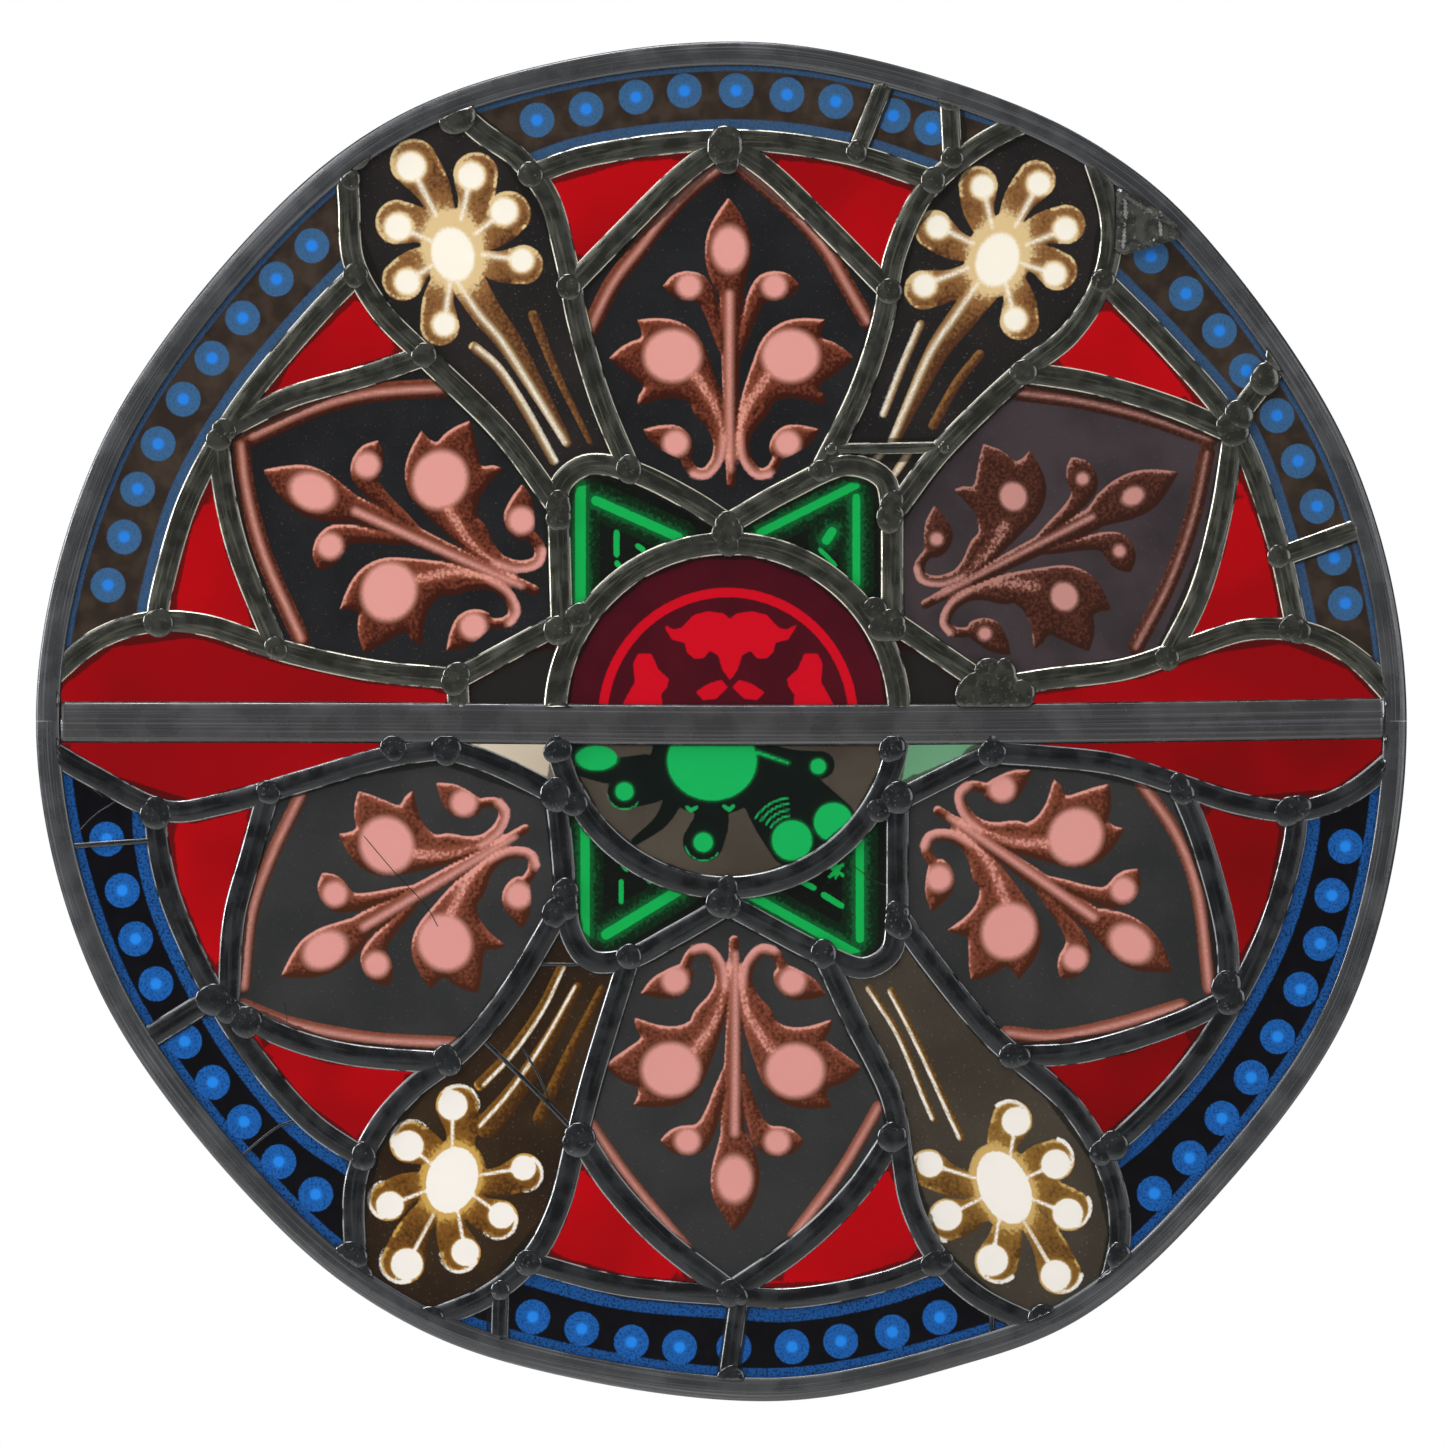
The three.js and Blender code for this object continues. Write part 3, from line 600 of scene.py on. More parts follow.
def hubPath(first, last):
    return [onCircle(hub["radius"], first + (last - first) * i / hub["steps"], hub["x"], hub["z"])
            for i in range(hub["steps"] + 1)]


def rimReach(degrees):
    # How far out the rim's edge is at an angle.
    return np.interp(degrees, rimAngles, rimRadii, period=360)


def rimPath(first, last, inset=0.0, step=0.5):
    count = round((last - first) / step)
    angles = [first + (last - first) * i / count for i in range(count + 1)]
    return [onCircle(rimReach(angle) - inset, angle) for angle in angles]


ring = smoothPath([onCircle(reach, degrees) for degrees, reach in rimLine], 2.0, closed=True)
ring.sort(key=lambda p: math.atan2(p.y, p.x) % math.tau)
rimAngles = np.array([math.degrees(math.atan2(p.y, p.x)) % 360 for p in ring])
rimRadii = np.array([p.length for p in ring])


def lengthened(path):
    # Ends run on a little, so that each came is cut under the one it meets.
    first, last = (path[0] - path[1]).normalized(), (path[-1] - path[-2]).normalized()
    return [path[0] + first * came["runsOn"]] + path + [path[-1] + last * came["runsOn"]]


def madeLeads(leads, arc, material, solderLook, below):
    leads = [lead if isinstance(lead, tuple) else (came["width"], lead) for lead in leads]
    pieces = []
    for width, proud, line in mends:
        if (line[0][1] < 0) == below:
            pieces.append(sweptLead(
                smoothPath(line, 2.0), width, material, front=mendStrip["front"] + proud,
                back=mendStrip["back"], flange=mendStrip["flange"], round=mendStrip["round"],
                heart=width * mendStrip["heartShare"],
                crown=min(mendStrip["crownMost"], width * mendStrip["crownShare"])))
    for i, (width, line) in enumerate(leads):
        # Each came sits a hair deeper or shallower than those it meets.
        sunk = came["sunkMost"] * ((i * 0.618) % 1.0)
        pieces.append(sweptLead(
            lengthened(smoothPath(line, 2.4)), width + came["spread"], material,
            front=came["front"] - sunk, back=came["back"] - sunk))
    pieces.append(sweptLead(hubPath(*arc), hub["width"], material))
    lumps = [(x, z, came["front"] - solder["endSunk"], width * solder["endShare"],
              solder["endSwell"])
             for width, line in leads for x, z in (line[0], line[-1])
             if math.hypot(x, z) < solder["insideRim"] and abs(z) > solder["besideBar"]]
    lumps += [(x, z, came["front"] - solder["sunk"], reach, swell)
              for x, z, reach, swell in solderLumps if (z < 0) == below]
    pieces.append(solderLumpsAt(lumps, solderLook))
    return pieces


def cutLead(pieces, name, above):
    # Leads are drawn past the rim and the bar: what lies under them is pushed back to their edge.
    whole = fused(pieces, name)
    places = vertexPlaces(whole.data)
    x, z = places[:, 0] / mm, places[:, 2] / mm - footDrop
    reach = np.hypot(x, z)
    most = rimReach(np.degrees(np.arctan2(z, x)) % 360) - rim["coversLeads"]
    share = np.where(reach > most, most / np.maximum(reach, 1e-6), 1.0)
    z = z * share
    z = np.maximum(z, bar["leadsAbove"]) if above else np.minimum(z, bar["leadsBelow"])
    places[:, 0] = x * share * mm
    places[:, 2] = (z + footDrop) * mm
    moveVertices(whole.data, places)
    return whole


upper = madeLeads(upperLeads, (-3, 183), upperLead, upperSolder, False)
finished(cutLead(upper, "leads_upper_half", True), "lead_matrix_upper")
lower = madeLeads(lowerLeads, (177, 363), lowerLead, lowerSolder, True)
finished(cutLead(lower, "leads_lower_half", False), "lead_matrix_lower")
for half, start in (("upper", 0), ("lower", 180)):
    # The two half rims meet at the bar's ends with a hair's gap.
    line = rimPath(start + rim["gapDegrees"], start + 180 - rim["gapDegrees"], rim["width"] / 2)
    piece = sweptLead(line, rim["width"], rimLead, front=rim["front"], back=rim["back"],
                      heart=rim["heart"], round=rim["round"])
    piece.name = "rim_" + half + "_half"
    finished(piece, "rim_" + half)
drawnBar = sweptLead(smoothPath(barLine, 2.0), bar["width"], barLead, front=bar["front"],
                     back=bar["back"], heart=bar["heart"], round=bar["round"])
drawnBar.name = "cross_bar_drawn"
places = vertexPlaces(drawnBar.data)
halfLength = (rimReach(0) - bar["endsInside"]) * mm
places[:, 0] = np.clip(places[:, 0], -halfLength, halfLength)
moveVertices(drawnBar.data, places)
finished(drawnBar, "cross_bar")
print("stage: leads made")


# Painting on the glass is measured in mm from each painted shape, below zero inside it.
def toEllipse(points, x, z, wide, high=None, tilt=0.0):
    high = high or wide
    turn = math.radians(tilt)
    dx, dz = points[:, 0] - x, points[:, 1] - z
    a = dx * math.cos(turn) + dz * math.sin(turn)
    b = -dx * math.sin(turn) + dz * math.cos(turn)
    return (np.hypot(a / wide, b / high) - 1) * min(wide, high)


def toSegment(points, a, b):
    # How far each point is from a straight line, and which share of it is nearest.
    dx, dz = b[0] - a[0], b[1] - a[1]
    part = np.clip(((points[:, 0] - a[0]) * dx + (points[:, 1] - a[1]) * dz)
                   / max(dx * dx + dz * dz, 1e-9), 0, 1)
    return np.hypot(points[:, 0] - a[0] - part * dx, points[:, 1] - a[1] - part * dz), part


def toStroke(points, line, startWidth, endWidth=None, smoothed=True):
    endWidth = startWidth if endWidth is None else endWidth
    path = smoothPath(line, 2.5) if smoothed and len(line) > 2 else [Vector(p) for p in line]
    lengths = np.cumsum([0.0] + [(b - a).length for a, b in zip(path, path[1:])])
    best = np.full(len(points), 1e3)
    for i, (a, b) in enumerate(zip(path, path[1:])):
        away, part = toSegment(points, a, b)
        along = (lengths[i] + part * (lengths[i + 1] - lengths[i])) / max(lengths[-1], 1e-9)
        best = np.minimum(best, away - (startWidth + (endWidth - startWidth) * along) / 2)
    return best


def toShape(points, outline):
    path = [Vector(p) for p in outline]
    inside = np.zeros(len(points), bool)
    best = np.full(len(points), 1e3)
    for a, b in zip(path, path[1:] + path[:1]):
        best = np.minimum(best, toSegment(points, a, b)[0])
        if b[1] != a[1]:
            crosses = (a[1] > points[:, 1]) != (b[1] > points[:, 1])
            reach = a[0] + (points[:, 1] - a[1]) * (b[0] - a[0]) / (b[1] - a[1])
            inside ^= crosses & (points[:, 0] < reach)
    return np.where(inside, -best, best)


class Paint:
    # What is painted on one pane: the body of the ornament, its lights, dark lines and a tone.
    def __init__(self, points):
        self.points = points
        self.body, self.light, self.line = [np.full(len(points), 20.0) for layer in range(3)]
        self.tone = np.zeros(len(points))

    def addBody(self, distance):
        self.body = np.minimum(self.body, distance)

    def addLight(self, distance):
        self.light = np.minimum(self.light, distance)

    def addLine(self, distance):
        self.line = np.minimum(self.line, distance)


def glow(distance, softMm):
    # Full inside a shape, and fading within a few times its softness outside.
    return np.exp(-np.maximum(distance, 0) / softMm)


def relief(paint, distance, lightFrom, softMm):
    # Tone along the painted edges: pale where they face the light, dark where they turn away.
    step = 0.6
    points = paint.points
    dx = distance(points + (step, 0)) - distance(points - (step, 0))
    dz = distance(points + (0, step)) - distance(points - (0, step))
    facing = (dx * lightFrom[0] + dz * lightFrom[1]) / (2 * step)
    return facing * np.exp(-np.abs(distance(points)) / softMm)


# A petal's spray in its own frame: first along the petal, then to its left, in mm.
# Each outline is a list of arcs that meet at the leaf's points.
bigLeaf = [
    [(-40, 2.2), (-32, 4.7), (-25, 8.3), (-20, 12.5), (-16.4, 18.2), (-16.2, 25), (-19, 34.4)],
    [(-19, 34.4), (-15, 33.8), (-12, 32), (-8.5, 36), (-5, 40.8), (-1.5, 44.8)],
    [(-1.5, 44.8), (2.4, 40.6), (4.8, 36.4), (6, 33), (9, 33), (12.6, 34.6)],
    [(12.6, 34.6), (13.2, 27), (12.2, 20), (9.2, 14.6), (4.6, 10.8), (-4, 7.4), (-16, 3.6),
        (-34, 0.4)]]
smallLeaf = [
    [(-2, 3), (6, 6.4), (13, 9), (19, 12.6), (19.6, 17.6), (21.5, 22), (25, 25)],
    [(25, 25), (29, 21.4), (30.4, 15.8), (28.6, 10), (23, 6.4), (14, 4), (4, 1)]]
endBud = [
    [(57.4, 1), (51, 5.6), (44, 8.8), (36, 9.6), (28, 7.8), (20, 3.8), (14, 2)],
    [(14, -2), (20, -3.4), (28, -5.4), (36, -7.2), (44, -6.8), (51, -3.4), (57.4, 1)]]
footBud = [
    [(-27.5, 32.4), (-26, 26), (-26.2, 19.4), (-30, 15), (-35.6, 14), (-39, 17)],
    [(-39, 17), (-36.4, 23), (-33, 28.4), (-27.5, 32.4)]]
footScroll = [
    (-14, 13), (-20, 11.5), (-26, 6.6), (-32.4, 4.2), (-40, 6), (-43.8, 10.2), (-42, 14.8),
    (-37, 17.2)]


def scrolls(paint, x, z, degrees, size=1.0, lateral=1.0, berry=1.0):
    u = onCircle(1.0, degrees)
    v = Vector((-u[1], u[0]))

    def at(a, b):
        return (x + size * (a * u[0] + b * lateral * v[0]),
                z + size * (a * u[1] + b * lateral * v[1]))

    def outlined(arcs, side):
        ring = []
        for arc in arcs:
            ring += smoothPath([at(a, b * side) for a, b in arc], 2.0)[:-1]
        return ring

    def lighten(a, b, wide, high=None):
        # A berry, in its share of the usual size.
        paint.addLight(toEllipse(paint.points, *at(a, b), wide * size * berry,
                                 high and high * size * berry, degrees if high else 0.0))

    rings = [outlined(leaf, side) for side in (1, -1) for leaf in (bigLeaf, smallLeaf, footBud)]
    rings.append(outlined(endBud, 1))
    stem = [at(-47, 0), at(-20, 0.3), at(22, 0)]
    curls = [[at(a, b * side) for a, b in footScroll] for side in (1, -1)]

    def body(points):
        best = toStroke(points, stem, 3.4 * size, 8.5 * size)
        for ring in rings:
            best = np.minimum(best, toShape(points, ring))
        for curl in curls:
            best = np.minimum(best, toStroke(points, curl, 5.5 * size, 3.6 * size))
        return best

    paint.addBody(body(paint.points))
    paint.tone = paint.tone + relief(paint, body, (-0.5, 0.86), 0.9) * 1.7 - 0.22
    lighten(38.5, 0.8, 7.6, 5.8)
    for side in (1, -1):
        # Ribs of the leaves, picked out paler.
        rib = [at(-38, 1.4 * side), at(-20, 5.5 * side), at(-8, 13 * side)]
        paint.tone = paint.tone + 0.6 * glow(toStroke(paint.points, rib, 0.8, 3), 0.9)
        lighten(-0.5, 21.6 * side, 9.0, 9.8)
        lighten(25, 15.6 * side, 3.9)
        lighten(-32.5, 20.4 * side, 4.1)
        curl = [at(-30, 2.9 * side), at(-39, 4.2 * side), at(-44.6, 9.2 * side), at(-44, 14 * side)]
        paint.addLight(toStroke(paint.points, curl, 0.5, 1.9))
    paint.addLight(toStroke(paint.points, [at(-42, 0.5), at(-10, 0.8), at(22, 0.8)], 0.4, 1.0))


def edgeBand(paint, line, width):
    # A moulding painted along a petal's edge: brown, with a pale line on its outer side.
    def band(points):
        return toStroke(points, line, width)
    paint.addBody(band(paint.points))
    paint.tone = paint.tone + relief(paint, band, (-0.5, 0.85), 1.4) * 0.4
    paint.addLight(toStroke(paint.points, line, 0.5, 0.9) + 0.2)


def flower(paint, core, knobs, stalks, turnTo, pale):
    # Seven round knobs on spokes about an oval heart, with long stalks below it.
    x, z, wide, high, tilt = core
    points = paint.points
    spokes = []
    for kx, kz, r in knobs:
        out = Vector((kx - x, kz - z))
        spokes.append((kx, kz, r, out, Vector((out[1], -out[0])).normalized() * turnTo))

    def body(points):
        best = toEllipse(points, x, z, wide + 3, high + 3, tilt)
        for kx, kz, r, out, side in spokes:
            spoke = [(x + out[0] * share + side[0] * bend, z + out[1] * share + side[1] * bend)
                     for share, bend in ((0.25, 2), (0.7, 3.4), (1, 1.6))]
            best = np.minimum(best, toStroke(points, spoke, 7.0, 2 * r + (4.6 if pale else 2.4)))
        for line, first, last, lit in stalks:
            best = np.minimum(best, toStroke(points, line, first, last))
        return best

    here = body(points)
    paint.addBody(here)
    heart = toEllipse(points, x, z, wide, high, tilt)
    paint.tone = relief(paint, body, (-0.6, 0.6), 1.6) * 0.4 - 0.25
    paint.tone += 1.3 * glow(heart, 2.6 if pale else 3.6)
    paint.addLight(heart if pale else toEllipse(
        points, x - 0.5, z - 1.5, wide * 0.86, high * 0.8, tilt))
    for kx, kz, r, out, side in spokes:
        away = out.normalized()
        inX, inZ = (kx, kz) if pale else (kx - away[0] * 0.8, kz - away[1] * 0.8)
        spot = toEllipse(points, inX, inZ, r * (1.0 if pale else 0.68))
        paint.addLight(spot)
        ray = [(x + out[0] * 0.4, z + out[1] * 0.4), (inX, inZ)]
        paint.addLight(toStroke(points, ray, 0.9, 1.3, False))
        # A brown hollow round the light, then a thin bright rim on the knob's outer side.
        paint.tone += (0.5 if pale else 1.0) * glow(spot, 1.2)
        beyond = (points[:, 0] - inX) * away[0] + (points[:, 1] - inZ) * away[1]
        near = np.hypot(points[:, 0] - kx, points[:, 1] - kz) < r + 6.5
        rimmed = paint.tone + 0.9 * np.exp(-np.abs(here + 0.5) / 0.6)
        paint.tone = np.where((beyond > -0.35 * r) & near, rimmed, paint.tone)
        if pale:
            cx, cz = kx + side[0] * 2.4, kz + side[1] * 2.4
            angle = math.degrees(math.atan2(out[1], out[0]))
            arc = [onCircle(r + 1.9, angle + math.degrees(step * 0.3), cx, cz)
                   for step in range(-6, 4)]
            paint.addLight(toStroke(points, arc, 0.5, 1.5))
    for line, first, last, lit in stalks:
        # The light runs down one side of a stalk, or not at all.
        if lit:
            shifts = [lit * 0.3 * (first + (last - first) * i / (len(line) - 1))
                      for i in range(len(line))]
            lightLine = [(px + dx, pz) for (px, pz), dx in zip(line, shifts)]
            paint.addLight(toStroke(points, lightLine, 0.9, 1.1))


# The border's blue dots.
dotsAt = [
    (-150, 173.7), (-163, 161.5), (-175.3, 147.3), (-186.5, 132.6), (-197, 117.6), (-206.2, 101.3),
    (-213.7, 84.8), (-218.6, 67.3), (-224.5, 49.7), (-67.8, 219.6), (-49.8, 223.6), (-31.6, 228),
    (-13.9, 230.3), (5, 230.4), (23.6, 228.9), (41.4, 226.4), (62.4, 221.2), (76.4, 216.7),
    (156.6, 169.8), (169.4, 156.2), (181.6, 142.6), (191.4, 128), (202.6, 111.6), (210.4, 95),
    (217.3, 78.5), (223.6, 59.6), (227.6, 43), (-225, -43.1), (-219.3, -61.9), (-214.4, -79.6),
    (-207, -96), (-196.5, -117), (-186.3, -132), (-174.8, -146.4), (-162.1, -161),
    (-148.6, -172.9), (-69.3, -217.7), (-51.4, -222.1), (-33.3, -226.9), (-15.7, -228.8),
    (4.2, -229), (25.4, -228.6), (43.2, -226.6), (62.1, -223.2), (79.4, -217.9), (227.6, -45.8),
    (222.7, -63.7), (218.5, -81.3), (211.3, -98), (202.8, -115.3), (193.2, -130.2),
    (182.5, -145.1), (170.7, -159.6), (157.8, -172.6)]
border = {"leadWidth": 8.0, "rimCovers": 8.8, "upperBands": (3.6, 1.9), "lowerBands": (4.6, 3.2)}


def paintBorder(paint, name):
    points = paint.points
    paint.light = np.minimum.reduce([
        np.hypot(points[:, 0] - x, points[:, 1] - z) for x, z in dotsAt])
    inner = np.minimum.reduce([
        toStroke(points, line, border["leadWidth"]) for line in borderLines.values()])
    turned = np.degrees(np.arctan2(points[:, 1], points[:, 0])) % 360
    outer = rimReach(turned) - np.hypot(points[:, 0], points[:, 1]) - border["rimCovers"]
    below = name == "left" or "lower" in name or "bottom" in name
    innerBand, outerBand = border["lowerBands" if below else "upperBands"]
    paint.addBody(inner - innerBand)
    paint.addBody(outer - outerBand)


# Petals: middle, direction in degrees, size, breadth and, where they differ, berries.
petals = {
    "top": (3.3, 134, 90, 1.0, 1.0),
    "upper_left": (-113, 68, 155.5, 1.04, 1.0),
    "upper_right": (116, 64, 27, 1.0, 0.95, 0.5),
    "lower_left": (-112.5, -63.3, 210.6, 1.0, 0.96),
    "bottom": (3.8, -128, -90.5, 1.02, 1.03),
    "lower_right": (117.2, -59.7, -35.1, 1.0, 0.98)}
# The bands along a petal's two outer edges: line and width.
petalBands = {
    "top": [
        ([(-49, 142), (-40, 160), (-30, 173), (-20, 186), (-9, 197), (0, 203)], 6.5),
        ([(53, 146), (45, 160), (38, 172), (28, 184), (16, 195), (6, 203)], 6.0)],
    "upper_left": [
        ([(-172, 104), (-150, 114), (-130, 119.5), (-97, 122)], 7.0),
        ([(-176, 101), (-174, 85), (-168, 62), (-154, 30)], 6.5)],
    "upper_right": [
        ([(178, 103), (155, 111), (130, 117), (108, 120)], 6.0),
        ([(177, 98), (172, 75), (163, 50), (151, 27)], 6.0)],
    "lower_left": [
        ([(-154, -27), (-165, -50), (-172, -70), (-175, -97)], 5.0),
        ([(-175, -104), (-160, -110), (-130, -116), (-98, -118)], 5.4)],
    "bottom": [
        ([(-49.5, -145), (-35, -166), (-13, -192.7)], 4.4),
        ([(57, -141), (52, -150), (43, -165), (26, -188)], 4.6)],
    "lower_right": [
        ([(153, -23), (165, -40), (173, -60), (178, -98)], 5.0),
        ([(104, -114), (120, -115.5), (140, -112), (168, -104)], 5.4)]}


def paintPetal(paint, name):
    scrolls(paint, *petals[name])
    for line, width in petalBands[name]:
        edgeBand(paint, line, width)


# Flowers: heart, knobs, stalks with their widths and lit side, turn of the spokes, pale or not.
flowers = {
    "upper_left": (
        (-98, 172, 9, 12.5, 15),
        [(-114.2, 203.3, 7.5), (-91.7, 200, 7), (-79.2, 186.7, 7), (-72.5, 168.3, 6),
         (-101.7, 144.2, 6), (-115.8, 160, 6.5), (-119.2, 180.8, 7)],
        [([(-94, 162), (-86, 149), (-79, 140), (-67, 120), (-56.7, 101.7)], 13, 3.4, -1),
         ([(-90.8, 136.7), (-83, 130), (-74, 117), (-61.7, 95)], 3.8, 3.2, 1),
         ([(-69.2, 148.3), (-62, 130), (-48.3, 101.7)], 3.6, 1.8, 0)],
        1, False),
    "upper_right": (
        (101, 170, 9, 12.5, -20),
        [(95, 196, 6), (116, 197, 6), (78, 181, 6), (126, 180, 6), (122, 163, 6), (73, 159, 6),
         (107, 146, 6)],
        [([(97, 160), (88, 148), (79, 136), (70, 118), (62, 101)], 12, 3.8, -1),
         ([(94, 134), (86, 124), (77, 108)], 3.4, 3.4, 0),
         ([(72.5, 145), (66, 130), (59, 112)], 3.0, 2.4, -1)],
        -1, False),
    "lower_left": (
        (-98.8, -167.7, 9.2, 12.3, -18),
        [(-98.6, -140.4, 5.4), (-114.8, -155.2, 5.5), (-121.5, -176.9, 5), (-115.3, -198.5, 5.8),
         (-94, -194, 5), (-80.7, -180.6, 4.8), (-72.7, -163.2, 4.5)],
        [([(-58.7, -89.7), (-66.4, -105.5), (-78, -122), (-88.6, -133)], 3.2, 4.4, 1),
         ([(-53, -97), (-63, -116), (-76, -136), (-86, -148)], 3.2, 9, -1),
         ([(-44, -97.6), (-55.3, -120), (-67, -145)], 2.6, 4.6, 0)],
        1, True),
    "lower_right": (
        (103, -170.4, 9, 14, 25),
        [(107.3, -146.3, 5.2), (75.8, -161.9, 4.7), (82, -180.6, 5.5), (98.6, -197, 5.7),
         (121.8, -202.5, 5.5), (126.2, -180, 5.5), (121.8, -161.9, 5.3)],
        [([(53.5, -97.6), (64, -114), (74, -138), (77.3, -145.5)], 2.6, 2.4, -1),
         ([(61.6, -98.6), (71, -117), (82, -141), (87.3, -152.5)], 2.8, 2.8, -1)],
        -1, True)}
splinterStrokes = [[(58, 98), (50, 88)], [(68, 98), (60, 86)]]


def paintLobe(paint, name):
    if name in flowers:
        flower(paint, *flowers[name])
    else:
        for line in splinterStrokes:
            paint.addBody(toStroke(paint.points, line, 3.0, 2.4))
            paint.addLight(toStroke(paint.points, line, 1.0, 0.8))


# The upper hub: half of the middle leaf, and a side leaf and a fragment, all mirrored.
hubLeaf = [
    (2.8, 15.4), (0.3, 18.8), (-1.4, 24.4), (-4.8, 26.1), (-7, 23.3), (-10.4, 23.1), (-12.8, 25.5),
    (-13.5, 28.9), (-18.2, 30), (-21.2, 34.8), (-17.7, 33), (-14.6, 34), (-10.4, 38.5),
    (-5.3, 39.8), (0.4, 39), (2.8, 36.8)]
hubSideLeaf = [
    (-36.8, 5), (-31.7, 14.3), (-32.3, 21), (-30.6, 24.4), (-26.1, 24.4), (-23.8, 18.8),
    (-19.9, 15.4), (-20.5, 12.6), (-22.7, 9.8), (-22.2, 5)]
hubBit = [(-9.4, 10.6), (-5, 13.4), (-0.6, 14.8), (1.6, 12.4), (-2.5, 8.4), (-7, 8)]
hubRing = {"x": 2, "z": 0.5, "squash": 0.985, "radius": 45.8, "halfWidth": 1.7}


def paintHubUpper(paint, name):
    points = paint.points
    away = np.hypot(points[:, 0] - hubRing["x"],
                    (points[:, 1] - hubRing["z"]) * hubRing["squash"])
    paint.addLight(np.abs(away - hubRing["radius"]) - hubRing["halfWidth"])
    for shape in (
            hubLeaf + [(5.6 - x, z) for x, z in reversed(hubLeaf[1:-1])],
            hubSideLeaf, [(4 - x, z) for x, z in hubSideLeaf],
            hubBit, [(5.6 - x, z) for x, z in hubBit]):
        paint.addLight(toShape(points, shape) - 0.3)


# The lower hub: the disc and the green knobs as ellipses, and the dark arms that carry them.
hubDisc = (-3.8, -14.5, 16.3, 14.5)
hubKnobs = [
    (-46, -13.5, 7.5, 4.5), (-35.8, -25.7, 3.3), (-7, -44.3, 3.5), (25.4, -43.6, 7.3),
    (40.5, -36.9, 7), (35, -16.6, 2.8)]
hubArms = [
    ([(-12, -18), (-26, -24), (-36, -26)], 12, 12),
    ([(-6, -25), (-4, -36), (-7, -44)], 10, 15),
    ([(10, -20), (18, -34), (26, -44)], 12, 19),
    ([(14, -14), (28, -26), (40, -37)], 16, 18),
    ([(14, -12), (26, -15), (36, -16)], 8, 10),
    ([(-16, -24), (-22, -36), (-32, -44)], 8, 3),
    ([(-52, -14), (-40, -18), (-28, -16)], 12, 8)]
hubCreases = [[(-9.5, -31.5), (-11.5, -32.8), (-13, -31.4)], [(0.5, -31), (2.4, -32.6), (4, -31)]]
hubFan = {"x": 25.4, "z": -43.6, "radius": 9, "apart": 2.2, "count": 4, "width": 0.9}


def paintHubLower(paint, name):
    points = paint.points
    disc = toEllipse(points, *hubDisc)
    greens = [disc] + [toEllipse(points, *knob) for knob in hubKnobs]
    greens.append(toStroke(points, [(13, -11.5), (24, -15.3)], 1.2, 0.8))
    for distance in greens:
        paint.addLight(distance)
    for x, z, radius in ((-35.8, -25.7, 6.5), (-7, -44.3, 6.7)):
        arc = [onCircle(radius, degrees, x, z) for degrees in range(190, 340, 15)]
        paint.addLine(toStroke(points, arc, 0.7))
    for line in hubCreases:
        paint.addLine(toStroke(points, line, 1.4))
    paint.addBody(disc - 5.5)
    for line, first, last in hubArms:
        paint.addBody(toStroke(points, line, first, last))
    for i in range(hubFan["count"]):
        arc = [onCircle(hubFan["radius"] + hubFan["apart"] * i, degrees, hubFan["x"], hubFan["z"])
               for degrees in range(95, 150, 9)]
        paint.addLine(toStroke(points, arc, hubFan["width"]))
    paint.tone = glow(np.minimum.reduce(greens), 1.3) - 0.3


# The green bars of the star tips: line and width.
starBars = {
    "upper_left": [
        ([(-51.9, 87), (-51.9, 43)], 3.9),
        ([(-46.3, 80.6), (-16, 67.1)], 3.4),
        ([(-38.7, 68.8), (-38.7, 60.9)], 2.2),
        ([(-31, 64), (-29, 62.6)], 2),
        ([(-38.6, 57.8), (-38, 57)], 2)],
    "upper_right": [
        ([(48.9, 81.7), (48.9, 50.2)], 2.8),
        ([(13.8, 68.8), (48.6, 86.2)], 3.0),
        ([(37.9, 66), (40.1, 69.3)], 3.2),
        ([(35.7, 62.6), (41.2, 57)], 1.6)],
    "lower_left": [
        ([(-50.2, -37), (-50.2, -82)], 3.4),
        ([(-42.5, -78), (-14.5, -61)], 3.7),
        ([(-37, -58.6), (-37, -66)], 1.8),
        ([(-30, -54), (-26.5, -59)], 1.4),
        ([(-36.6, -52), (-35, -54)], 2.2)],
    "lower_right": [
        ([(10, -63.5), (49, -85)], 3.2),
        ([(50.2, -40), (50.2, -79.6)], 3.0),
        ([(28.5, -58.5), (33.5, -61)], 2.0),
        ([(37, -63.5), (43.5, -67.5)], 2.2),
        ([(38.6, -52.8), (44, -56.4)], 1.3),
        ([(44, -52.4), (39, -57)], 1.3),
        ([(41.4, -51.5), (41.4, -57.4)], 1.1)]}
star = {"glowingFrom": 2.5, "ground": 5.0}


def paintStar(paint, name):
    for line, width in starBars[name]:
        distance = toStroke(paint.points, line, width, None, False)
        paint.addLight(distance)
        if width > star["glowingFrom"]:
            paint.addBody(distance - star["ground"])
            paint.tone = np.maximum(paint.tone, 1.1 * glow(distance, 2.6) - 0.25)


# Panes: depths in mm from the wall, and the size of the triangles that carry the painting.
pane = {"front": 4.7, "back": 1.7, "fine": 1.08, "coarse": 5.0}


